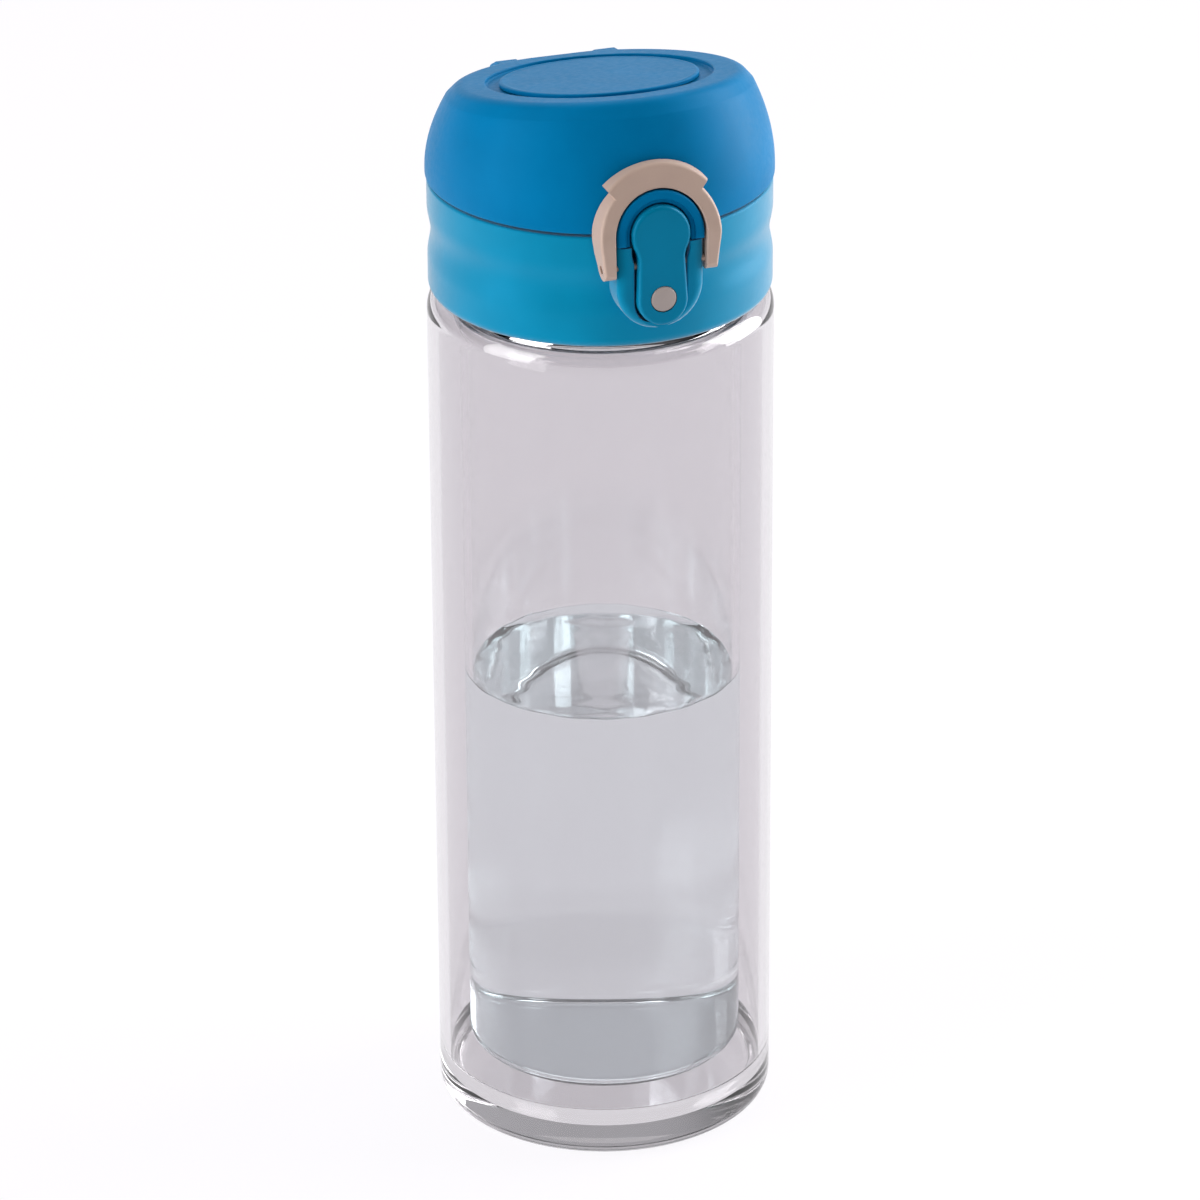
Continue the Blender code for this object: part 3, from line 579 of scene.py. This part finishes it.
SHELL_CLEAR = clear_plastic("shell_clear", (0.790, 0.770, 0.790), 1.52, 0.02, 9.0)
VESSEL_CLEAR = clear_plastic("vessel_clear", (0.992, 0.992, 0.992), 1.50, 0.02)
WATER = clear_plastic("water", (0.945, 0.998, 1.0), 1.333, 0.0)
BLUE_SHEEN = (0.02, 0.5, 1.0)
PALE_SHEEN = (0.12, 0.55, 1.0)
LID_BLUE = satin_plastic("lid_blue", (0.0002, 0.158, 0.360), 0.42, 0.10, BLUE_SHEEN, 0.0)
COLLAR_BLUE = satin_plastic("collar_blue", (0.0005, 0.222, 0.390), 0.40, 0.25, BLUE_SHEEN, 0.70)
BUTTON_TEAL = satin_plastic("button_teal", (0.0002, 0.185, 0.330), 0.34, 0.35, PALE_SHEEN, 0.0)
RING_BEIGE = satin_plastic("ring_beige", (0.500, 0.365, 0.300), 0.45, 0.35)
DOT_GREY = satin_plastic("dot_grey", (0.390, 0.330, 0.310), 0.42, 0.35)
CAP_WHITE = satin_plastic("cap_white", (0.780, 0.800, 0.820), 0.35, 0.45)
SILICONE = satin_plastic("seal_silicone", (0.700, 0.720, 0.740), 0.60, 0.35)
STEEL = metal("spring_steel")


# =========================================================================== bottle and drink


def make_shell():
    """The outer shell with its welded base plug, as one clear moulding."""
    inner_r = BODY_R - SHELL_WALL
    shoulder = (BODY_R - SHOULDER_ROUND, SHELL_HIGH.z - SHOULDER_ROUND)
    profile = [(NECK_R + GAP, SHELL_HIGH.z)]
    profile += arc(*shoulder, SHOULDER_ROUND, 90, 0, 14)
    profile += arc(BODY_R - BASE_ROUND, BASE_ROUND, BASE_ROUND, 0, -90, 14)
    profile += [(0.0, 0.0)]
    inner = [(0.0, BASE_FLOOR), (PLUG_HIGH.x - 0.4, BASE_FLOOR), (PLUG_HIGH.x, BASE_FLOOR + 0.4)]
    inner += [(PLUG_HIGH.x + 0.2, SEAT_CHAMFER_LOW), (inner_r, SEAT_CHAMFER_TOP)]
    inner += arc(*shoulder, SHOULDER_ROUND - SHELL_WALL, 0, 90, 8)
    inner += [(NECK_R + GAP, SHELL_HIGH.z - SHELL_WALL)]
    shell = turned("clear_outer_shell", profile + inner, SHELL_CLEAR)
    place(shell, "bottle", "clear_plastic", "outer_shell", "base_plug")


def vessel_bore(drop=0.0):
    """Inner outline of the vessel from its floor's centre to the rim; drop widens it."""
    bore_r = VESSEL_R - VESSEL_WALL + drop
    floor = VESSEL_LOW.z + VESSEL_WALL - drop
    corner = VESSEL_CORNER - VESSEL_WALL
    return [(0.0, floor)] + arc(bore_r - corner, floor + corner, corner, -90, 0, 10)


def make_vessel():
    """The inner cup with its neck; the neck's thread, which sits under the collar, is not
    modelled.
    """
    bore_r = VESSEL_R - VESSEL_WALL
    low, high = VESSEL_SHOULDER_LOW, VESSEL_SHOULDER_TOP
    profile = vessel_bore()
    profile += rounded([(bore_r, low - 4.0), (bore_r, low, 3.0), (NECK_BORE_R, high - 1.2, 2.5),
                        (NECK_BORE_R, VESSEL_HIGH.z, 0.5), (NECK_R, VESSEL_HIGH.z, 0.5),
                        (NECK_R, high, 2.0), (VESSEL_R, low + 0.6, 3.0), (VESSEL_R, low - 4.0)],
                       closed=False, steps=6)
    profile += arc(VESSEL_R - VESSEL_CORNER, VESSEL_LOW.z + VESSEL_CORNER, VESSEL_CORNER,
                   0, -90, 12)
    profile += [(0.0, VESSEL_LOW.z)]
    vessel = turned("clear_inner_vessel", profile, VESSEL_CLEAR, closed=False)
    place(vessel, "bottle", "clear_plastic", "inner_vessel")


def make_water():
    """The drink, with a small meniscus at the wall and a faintly rippled surface."""
    bore = vessel_bore(EMBED)
    wall_r = bore[-1][0]
    profile = list(bore) + [(wall_r, WATER_LEVEL + MENISCUS_RISE)]
    profile += [(wall_r - MENISCUS_REACH * t, WATER_LEVEL + MENISCUS_RISE * (1 - t) ** 2.5)
                for t in [i / 10 for i in range(1, 11)]]
    flat_r = wall_r - MENISCUS_REACH
    rings = 24
    profile += [(flat_r * (1 - i / rings), WATER_LEVEL) for i in range(1, rings + 1)]
    water = turned("water_fill", profile, WATER, closed=False)
    for vert in water.data.vertices:
        x, y, z = vert.co / MM
        if z > WATER_LEVEL - 0.01:
            share = min(1.0, (x * x + y * y) / wall_r ** 2)
            wave = 1.0
            for in_x, in_y, phase in RIPPLE_WAVES:
                wave *= sin(in_x * x + in_y * y + phase)
            vert.co.z += RIPPLE * share ** 2 * wave * MM
    place(water, "bottle", "clear_plastic")


# ============================================================================ collar and spout


def mirror_line(right):
    """A line of (x, z) from the right-hand side, carried on through its mirror image."""
    return right + [(-x, z) for x, z in reversed(right[:-1])]


def make_collar():
    """Screw collar: waisted sleeve and deck, latch housing in front, knuckle behind."""
    edge = COLLAR_RIM_EDGE
    outer = arc(COLLAR_R - edge, COLLAR_TOP - edge, edge, 90, 0, 4)
    steps = 20
    for i in range(steps + 1):
        share = i / steps
        dip = WAIST_DEPTH * (1 - cos(2 * pi * share)) / 2
        outer.append((COLLAR_R - dip, WAIST_TOP + (WAIST_LOW - WAIST_TOP) * share))
    outer += arc(COLLAR_R - COLLAR_FOOT_ROUND, COLLAR_LOW.z + COLLAR_FOOT_ROUND,
                 COLLAR_FOOT_ROUND, 0, -90, 10)
    inner = [(COLLAR_BORE_R, COLLAR_LOW.z), (COLLAR_BORE_R, DECK_LOW),
             (SPOUT_R + GAP, DECK_LOW)]
    inner += rounded([(SPOUT_R + GAP, DECK_LOW), (SPOUT_R + GAP, DECK_TOP, 0.4),
                      (COLLAR_BORE_R + GAP, DECK_TOP, 1.2), (COLLAR_BORE_R + GAP, COLLAR_TOP, 0.3),
                      (COLLAR_R - edge, COLLAR_TOP)], closed=False)[1:-1]
    sleeve = turned("collar_body", outer + inner, COLLAR_BLUE)
    slot_bottom = HOUSING_LOW + SLOT_RISE + SLOT_HALF
    housing = strip(
        "latch_housing",
        mirror_line([(SLOT_TOP_HALF, HOUSING_TOP), (SLOT_TOP_HALF, SLOT_FLARE_TOP),
                     (SLOT_HALF, SLOT_FLARE_LOW)] + arc(0.0, slot_bottom, SLOT_HALF, 0, -90, 24)),
        mirror_line([(HOUSING_HALF, HOUSING_TOP), (HOUSING_HALF, SLOT_FLARE_TOP),
                     (HOUSING_HALF, SLOT_FLARE_LOW)]
                    + arc(0.0, HOUSING_LOW + HOUSING_HALF, HOUSING_HALF, 0, -90, 24)),
        level(HOUSING_FRONT), level(-COLLAR_BORE_R - GAP),
        lambda width, _z: edged(width, SLOT_EDGE, CHEEK_ROUND, 8, CHEEK_DROP))
    floor_cut = slab("slot_floor",
                     arc(0.0, slot_bottom, SLOT_HALF, 180, 360, 32)
                     + [(SLOT_HALF, SLOT_FLARE_LOW), (SLOT_TOP_HALF, SLOT_FLARE_TOP),
                        (SLOT_TOP_HALF, COLLAR_TOP + OVERSHOOT),
                        (-SLOT_TOP_HALF, COLLAR_TOP + OVERSHOOT),
                        (-SLOT_TOP_HALF, SLOT_FLARE_TOP), (-SLOT_HALF, SLOT_FLARE_LOW)],
                     level(HOUSING_FRONT - OVERSHOOT), level(HOUSING_FLOOR))
    barrel = arc(HINGE_Y, HINGE_Z, KNUCKLE_R, -30, 180, 24)
    foot_z = COLLAR_TOP - KNUCKLE_FOOT_DROP
    side = [(COLLAR_R - KNUCKLE_FOOT_IN, foot_z), (COLLAR_R + KNUCKLE_FOOT_OUT, foot_z)] + barrel
    side += [(HINGE_Y - KNUCKLE_R, COLLAR_TOP + 0.2)]
    knuckle = side_slab("hinge_knuckle", side, -KNUCKLE_HALF, KNUCKLE_HALF, edge=0.3)
    spring_slot = block("spring_slot", (-SPRING_SLOT_HALF, SPRING_SLOT_HALF),
                        (HINGE_Y - SPRING_SLOT_REACH, HINGE_Y + SPRING_SLOT_REACH),
                        (HINGE_Z - SPRING_SLOT_DROP, HINGE_Z + SPRING_SLOT_REACH))
    bores = [
        rod("latch_bore", PIN_R + BORE_PLAY, "X", THROUGH, (0, PIN_Y, PIN_Z)),
        rod("hinge_bore", HINGE_PIN_R + BORE_PLAY, "X", THROUGH, (0, HINGE_Y, HINGE_Z)),
        rod("vent_hole", VENT_HOLE_R, "Z", 6.0, (0, VENT_Y, DECK_TOP)),
    ]
    combine(sleeve, "DIFFERENCE", floor_cut)
    combine(sleeve, "UNION", housing)
    combine(sleeve, "UNION", knuckle)
    combine(sleeve, "DIFFERENCE", spring_slot, *bores)
    weighted(sleeve)
    place(sleeve, "cap", "collar_blue", "collar")


def make_mouthpiece():
    """Drinking spout with a rolled lip, a root fillet and its clamping flange."""
    profile = rounded([
        (SPOUT_BORE_R, SPOUT_TOP, 0.9), (SPOUT_R, SPOUT_TOP, 0.9),
        (SPOUT_R, SPOUT_FLANGE_TOP, 0.5), (SPOUT_FLANGE_R, SPOUT_FLANGE_TOP, 0.3),
        (SPOUT_FLANGE_R, SPOUT_FLANGE_LOW, 0.3), (SPOUT_BORE_R, SPOUT_FLANGE_LOW, 0.2),
    ])
    spout = turned("drinking_spout", profile, COLLAR_BLUE)
    relief = rod("vent_relief", VENT_HOLE_R, "Z", 10.0, (0, VENT_Y, SPOUT_FLANGE_TOP))
    weighted(combine(spout, "DIFFERENCE", relief))
    place(spout, "cap", "collar_blue", "mouthpiece")


# ==================================================================================== the lid


def side_radius(z, grow=0.0):
    """Radius of the lid's side at a height, before it is tilted."""
    rise = max(0.0, z - LID_SIDE_START)
    return LID_R - LID_SIDE_RATE * rise ** LID_SIDE_POWER + grow


def lid_side(low, high, steps, grow=0.0):
    """Points down the lid's side from high to low."""
    heights = [high + (low - high) * i / steps for i in range(steps + 1)]
    return [(side_radius(z, grow), z) for z in heights]


def tilt(piece):
    """Lean the top of the lid towards the latch, leaving its rim level."""
    for vert in piece.data.vertices:
        share = (vert.co.z / MM - LID_RIM) / (LID_TOP - LID_RIM)
        vert.co.z -= LID_TILT * vert.co.y * max(0.0, share)
    return piece


def arch_line(centre_z, radius):
    """Half-round line of (x, z) with two short legs, from the right foot to the left."""
    low, high = ARCH_LOW, LID_RIM
    legs = [(radius, low + rise) for rise in (0.0, 0.05, 0.13, 0.25, 0.45)]
    legs += [(radius, high), (radius, high + 0.02)]
    return mirror_line(legs + arc(0.0, centre_z, radius, 0, 90, 24))


def arch_front(_x, z):
    """Y of the catch arch's face, which leans back towards its top."""
    return ARCH_FACE_Y + ARCH_FACE_SLOPE * (z - ARCH_LOW)


def arch_back(_x, z):
    """Y of the arch's back: inside the lid's wall, but clear of the collar below the rim."""
    return ARCH_BACK if z > LID_RIM + 0.01 else -COLLAR_R - 1.5 * GAP


def arch_section(width, z):
    """Section of the arch: a low lip by the bore, then the face; its feet are rounded."""
    reach = max(0.0, ARCH_EDGE - (z - ARCH_LOW))
    foot = ARCH_EDGE - sqrt(ARCH_EDGE ** 2 - reach ** 2)
    face = [(s + ARCH_LIP, depth) for s, depth in edged(width - ARCH_LIP, 0.2, ARCH_EDGE)[1:-1]]
    lip = [(0.0, ARCH_LIP_DROP + 0.2), (0.06, ARCH_LIP_DROP + 0.06), (0.2, ARCH_LIP_DROP),
           (ARCH_LIP - 0.05, ARCH_LIP_DROP)]
    front = [(min(s, width - foot), max(depth, foot)) for s, depth in lip + face]
    return [(0.0, None)] + front + [(width - foot, None)]


def make_arch():
    """Catch arch on the lid's front: a raised half ring with a lower lip round the button."""
    inner = arch_line(BUTTON_TOP_Z, BUTTON_TOP_R + GAP)
    outer = arch_line(ARCH_Z, ARCH_R)
    arch = strip("catch_arch", inner, outer, arch_front, arch_back, arch_section, LID_BLUE, 50.0)
    place(arch, "flip_lid", "lid_blue")


def make_lid():
    """Domed lid with hinge ears, rear notch and the catch's slot."""
    inner_top = LID_TOP - LID_ROOF_THICK
    crown = rounded([(RECESS_R + 2.0, LID_TOP), (LID_CROWN_R, LID_TOP, LID_CROWN_ROUND),
                     (side_radius(LID_SIDE_TOP), LID_SIDE_TOP)], closed=False, steps=10)
    profile = [(0.0, RECESS_FLOOR), (RECESS_R - RECESS_EDGE, RECESS_FLOOR)]
    profile += [(RECESS_R, RECESS_FLOOR + RECESS_EDGE), (RECESS_R, LID_TOP - 0.3)]
    profile += [(RECESS_R + 0.09, LID_TOP - 0.09), (RECESS_R + 0.3, LID_TOP)] + crown[:-1]
    profile += lid_side(LID_SIDE_START, LID_SIDE_TOP, 24)
    profile += rounded([(LID_R, LID_SIDE_START - 0.2), (LID_R, LID_RIM, 0.5),
                        (LID_R - LID_WALL, LID_RIM, 0.3),
                        (LID_R - LID_WALL, LID_SIDE_START - 0.2)], closed=False)
    profile += list(reversed(lid_side(LID_SIDE_START, inner_top - 1.0, 12, -LID_WALL)))
    profile += [(LID_CEILING_R, inner_top), (0.0, inner_top)]
    shell = tilt(turned("lid_dome", profile, LID_BLUE, closed=False))
    ear = arc(HINGE_Y, HINGE_Z, EAR_R, -100, 30, 14) + rounded(EAR_OUTLINE, closed=False)[1:]
    inside = KNUCKLE_HALF + GAP
    ears = [side_slab("ear_" + word, ear, low, high, edge=0.3) for word, low, high in
            (("right", inside, EAR_OUTER_X), ("left", -EAR_OUTER_X, -inside))]
    wall = block("notch_wall", (-inside - NOTCH_WALL_SIDE, inside + NOTCH_WALL_SIDE),
                 (NOTCH_Y - LID_WALL, NOTCH_Y), (LID_RIM + 0.5, NOTCH_WALL_TOP))
    notch = block("notch", (-inside, inside), (NOTCH_Y, NOTCH_REACH),
                  (LID_RIM - OVERSHOOT, LID_TOP + OVERSHOOT))
    bore = rod("ear_bore", HINGE_PIN_R + BORE_PLAY, "X", THROUGH, (0, HINGE_Y, HINGE_Z))
    catch = block("catch_slot", (-CATCH_HALF - CATCH_SLOT_SIDE, CATCH_HALF + CATCH_SLOT_SIDE),
                  CATCH_SLOT_Y, (CATCH_Z - CATCH_SLOT_DROP, CATCH_Z + CATCH_SLOT_RISE))
    for extra in (wall, *ears):
        combine(shell, "UNION", extra)
    combine(shell, "DIFFERENCE", notch, bore, catch)
    weighted(shell)
    place(shell, "flip_lid", "lid_blue", "lid_shell")


def make_lid_disc():
    """Disc in the lid's recess, with a slightly raised, softened rim."""
    low = RECESS_FLOOR + GAP
    profile = rounded([(0.0, LID_TOP), (DISC_R - 1.2, LID_TOP),
                       (DISC_R - 0.6, LID_TOP + DISC_RIM_RISE, 0.2), (DISC_R, LID_TOP, 0.35),
                       (DISC_R, low), (0.0, low)], closed=False)
    disc = tilt(turned("lid_disc", profile, LID_BLUE, closed=False))
    place(disc, "flip_lid", "lid_blue", "lid_top_disc")


# ================================================================================== the latch


def button_face(_x, z):
    """Y of the button's sloping face at a height."""
    return BUTTON_FACE_Y + BUTTON_FACE_SLOPE * (z - BUTTON_TOP_Z)


def button_back(x, z):
    return button_face(x, z) + BUTTON_THICK


def make_button():
    """Rocking push button: round head, slight waist, lobe, hook and pivot boss."""
    head = arc(0.0, BUTTON_TOP_Z, BUTTON_TOP_R, 90, -30, 30)
    waist = rounded([head[-1], (BUTTON_WAIST_HALF, BUTTON_WAIST_Z, 3.0),
                     (BUTTON_LOBE_R, BUTTON_LOBE_Z)], closed=False, steps=8)[1:-1]
    lobe = arc(0.0, BUTTON_LOBE_Z, BUTTON_LOBE_R, 0, -90, 24)
    right = head + waist + lobe
    outline = right + [(-x, z) for x, z in reversed(right[1:-1])]
    button = slab("rocker_button", outline, button_face, button_back, BUTTON_TEAL,
                  edge=0.75, edge_steps=5)
    hook = block("catch_hook", (-CATCH_HALF, CATCH_HALF), CATCH_HOOK_Y,
                 (CATCH_Z - CATCH_HOOK_HALF_THICK, CATCH_Z + CATCH_HOOK_HALF_THICK))
    boss = rod("pivot_boss", BOSS_R, "X", 2 * BUTTON_WAIST_HALF - 0.4, (0, PIN_Y, PIN_Z))
    bore = rod("button_bore", PIN_R + BORE_PLAY, "X", THROUGH, (0, PIN_Y, PIN_Z))
    seat = rod("dot_seat", DOT_R + DOT_SEAT_PLAY, "Y", DOT_SEAT_CUTTER,
               (0, button_face(0, DOT_Z) + DOT_SEAT_DEPTH - DOT_SEAT_CUTTER / 2, DOT_Z))
    combine(button, "UNION", hook, boss)
    combine(button, "DIFFERENCE", bore, seat)
    weighted(button)
    place(button, "push_button", "button_teal", "latch_button")


def make_dot():
    """Round press mark, standing a little proud of the button, with a rounded edge."""
    middle = (0, button_face(0, DOT_Z) - DOT_PROUD + DOT_THICK / 2, DOT_Z)
    dot = rod("press_mark", DOT_R, "Y", DOT_THICK, middle, DOT_GREY, steps=64, edge=0.25)
    place(dot, "push_button", "ring_beige", "press_dot")


def ring_front(_x, z):
    """Y of the lock ring's face: upright at the legs, leaning back at the crown."""
    lean = (RING_FRONT_TOP - RING_FRONT) / (RING_TOP_Z - RING_LEAN_Z)
    return RING_FRONT + lean * max(0.0, z - RING_LEAN_Z)


def make_ring():
    """Lock ring: arch with a raised crown, fitted to the lid's curve behind."""
    foot_z = PIN_Z - RING_FOOT_DROP
    crown_steps, side_steps, leg_steps = 24, 24, 6
    crown = arc(0.0, RING_Z, RING_CROWN_R, 90, RING_CROWN_ANGLE, crown_steps)
    side = arc(0.0, RING_Z, RING_R, RING_CROWN_ANGLE - 1.0, RING_SIDE_END, side_steps)
    last = side[-1]
    leg = [(last[0] + (RING_LEG_OUTER_X - last[0]) * i / leg_steps,
            last[1] + (foot_z - last[1]) * i / leg_steps) for i in range(1, leg_steps + 1)]
    outer = crown + side + leg
    inner = arc(0.0, RING_Z, RING_BORE_R, 90, RING_CROWN_ANGLE, crown_steps)
    inner += arc(0.0, RING_Z, RING_BORE_R, RING_CROWN_ANGLE - 1.0, 0, side_steps)
    inner += [(RING_BORE_R + (RING_LEG_INNER_X - RING_BORE_R) * i / leg_steps,
               RING_Z + (foot_z - RING_Z) * i / leg_steps) for i in range(1, leg_steps + 1)]
    ring = strip("safety_lock_ring", mirror_line(list(reversed(inner))),
                 mirror_line(list(reversed(outer))), ring_front, level(RING_BACK),
                 lambda width, _z: edged(width, RING_BORE_EDGE, RING_RIM_EDGE), RING_BEIGE)
    feet = arc(PIN_Y, PIN_Z, RING_LEG_R, 180, 360, 24)
    outline = [(RING_FRONT - 4.0, RING_SIDE_TOP), (RING_FRONT - 4.0, 197.2),
               (RING_FRONT - 0.1, 197.0)]
    outline += feet + rounded(RING_HEEL, closed=False)[1:]
    side_cut = side_slab("ring_side", outline, -20.0, 20.0)
    dome = [(0.0, LID_TOP)] + lid_side(LID_SIDE_START, LID_SIDE_TOP + 1.2, 20, RING_CLEARANCE)
    dome += [(LID_R + RING_CLEARANCE, RING_ENVELOPE_LOW), (0.0, RING_ENVELOPE_LOW)]
    dome = tilt(turned("lid_envelope", dome, None, closed=False))
    bore = rod("ring_bore", PIN_R + BORE_PLAY, "X", THROUGH, (0, PIN_Y, PIN_Z))
    combine(ring, "INTERSECT", side_cut)
    combine(ring, "DIFFERENCE", dome)
    combine(ring, "DIFFERENCE", bore)
    weighted(ring)
    place(ring, "safety_ring", "ring_beige", "lock_ring")


# ============================================================================== floor, lights


def make_floor():
    """Plain pale floor that fills the camera's view."""
    shape = bmesh.new()
    bmesh.ops.create_grid(shape, x_segments=1, y_segments=1, size=FLOOR_HALF)
    made, _tree, shader = new_material("pale_floor")
    shader.inputs["Base Color"].default_value = (FLOOR_TONE, FLOOR_TONE, FLOOR_TONE, 1.0)
    shader.inputs["Roughness"].default_value = 0.9
    shader.inputs["Specular IOR Level"].default_value = 0.0
    shader.inputs["Emission Color"].default_value = FLOOR_GLOW_COLOUR
    shader.inputs["Emission Strength"].default_value = FLOOR_GLOW
    floor = finished("floor", shape, made)
    floor.location.z = -FLOOR_DROP


def area_light(name, azimuth, height, distance, width, tall, power):
    """A soft box that looks at the bottle's middle; azimuth as for the camera."""
    data = bpy.data.lights.new(name, "AREA")
    data.shape = "RECTANGLE"
    data.size = width
    data.size_y = tall
    data.energy = power
    lamp = bpy.data.objects.new(name, data)
    bpy.context.scene.collection.objects.link(lamp)
    turn = radians(azimuth)
    lamp.location = (distance * sin(turn), -distance * cos(turn), height)
    aim = Vector((0.0, 0.0, LIGHT_AIM_Z)) - lamp.location
    lamp.rotation_euler = aim.to_track_quat("-Z", "Y").to_euler()


def make_world():
    """Studio surround: dim on the camera's side, pale behind and beside the bottle."""
    world = bpy.data.worlds.new("studio")
    world.use_nodes = True
    tree = world.node_tree
    place_at = tree.nodes.new("ShaderNodeTexCoord")
    facing = tree.nodes.new("ShaderNodeVectorMath")
    facing.operation = "DOT_PRODUCT"
    facing.inputs[1].default_value = WORLD_BRIGHT_SIDE
    fade = tree.nodes.new("ShaderNodeMapRange")
    fade.interpolation_type = "SMOOTHSTEP"
    fade.inputs["From Min"].default_value = WORLD_FADE_START
    fade.inputs["From Max"].default_value = WORLD_FADE_END
    fade.inputs["To Min"].default_value = WORLD_FRONT
    fade.inputs["To Max"].default_value = WORLD_BACK
    sky = tree.nodes["Background"]
    sky.inputs["Color"].default_value = (0.97, 0.96, 1.0, 1.0)
    tree.links.new(place_at.outputs["Generated"], facing.inputs[0])
    tree.links.new(facing.outputs["Value"], fade.inputs["Value"])
    tree.links.new(fade.outputs["Result"], sky.inputs["Strength"])
    bpy.context.scene.world = world


def make_lights():
    for softbox in SOFTBOXES:
        area_light(*softbox)


def make_camera():
    data = bpy.data.cameras.new("camera")
    data.lens = LENS
    data.sensor_width = SENSOR
    data.clip_end = 20.0
    camera = bpy.data.objects.new("camera", data)
    bpy.context.scene.collection.objects.link(camera)
    turn, pitch = radians(CAMERA_AZIMUTH), radians(CAMERA_PITCH)
    away = Vector((sin(turn) * cos(pitch), -cos(turn) * cos(pitch), sin(pitch)))
    right = Vector((cos(turn), sin(turn), 0.0))
    up = away.cross(right)
    aim = Vector((0.0, 0.0, CAMERA_AIM_Z)) - right * CAMERA_AIM_LEFT - up * CAMERA_AIM_DOWN
    axes = Matrix((right, up, away)).transposed()
    axes = axes @ Matrix.Rotation(radians(CAMERA_ROLL), 3, "Z")
    camera.matrix_world = Matrix.Translation(aim + away * CAMERA_DISTANCE) @ axes.to_4x4()
    bpy.context.scene.camera = camera


def finish_cad_nodes():
    """Materials of the CAD pieces that stay as they are."""
    looks = {
        "neck_seal": SILICONE, "mouthpiece_gasket": SILICONE, "spout_plug": SILICONE,
        "vent_plug": SILICONE, "inner_cap": CAP_WHITE, "lid_liner": CAP_WHITE,
        "hinge_pin": STEEL, "hinge_spring": STEEL, "button_spring": STEEL,
        "latch_pin": RING_BEIGE,
    }
    for node, look in looks.items():
        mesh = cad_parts[node].data
        mesh.materials.clear()
        mesh.materials.append(look)


make_camera()
make_floor()
make_world()
make_lights()
make_shell()
make_vessel()
make_water()
make_collar()
make_mouthpiece()
make_lid()
make_arch()
make_lid_disc()
make_button()
make_dot()
make_ring()
finish_cad_nodes()
bpy.context.scene.view_settings.view_transform = "Standard"
bpy.context.scene.cycles.max_bounces = 40
bpy.context.scene.cycles.transmission_bounces = 40
bpy.context.scene.cycles.glossy_bounces = 12
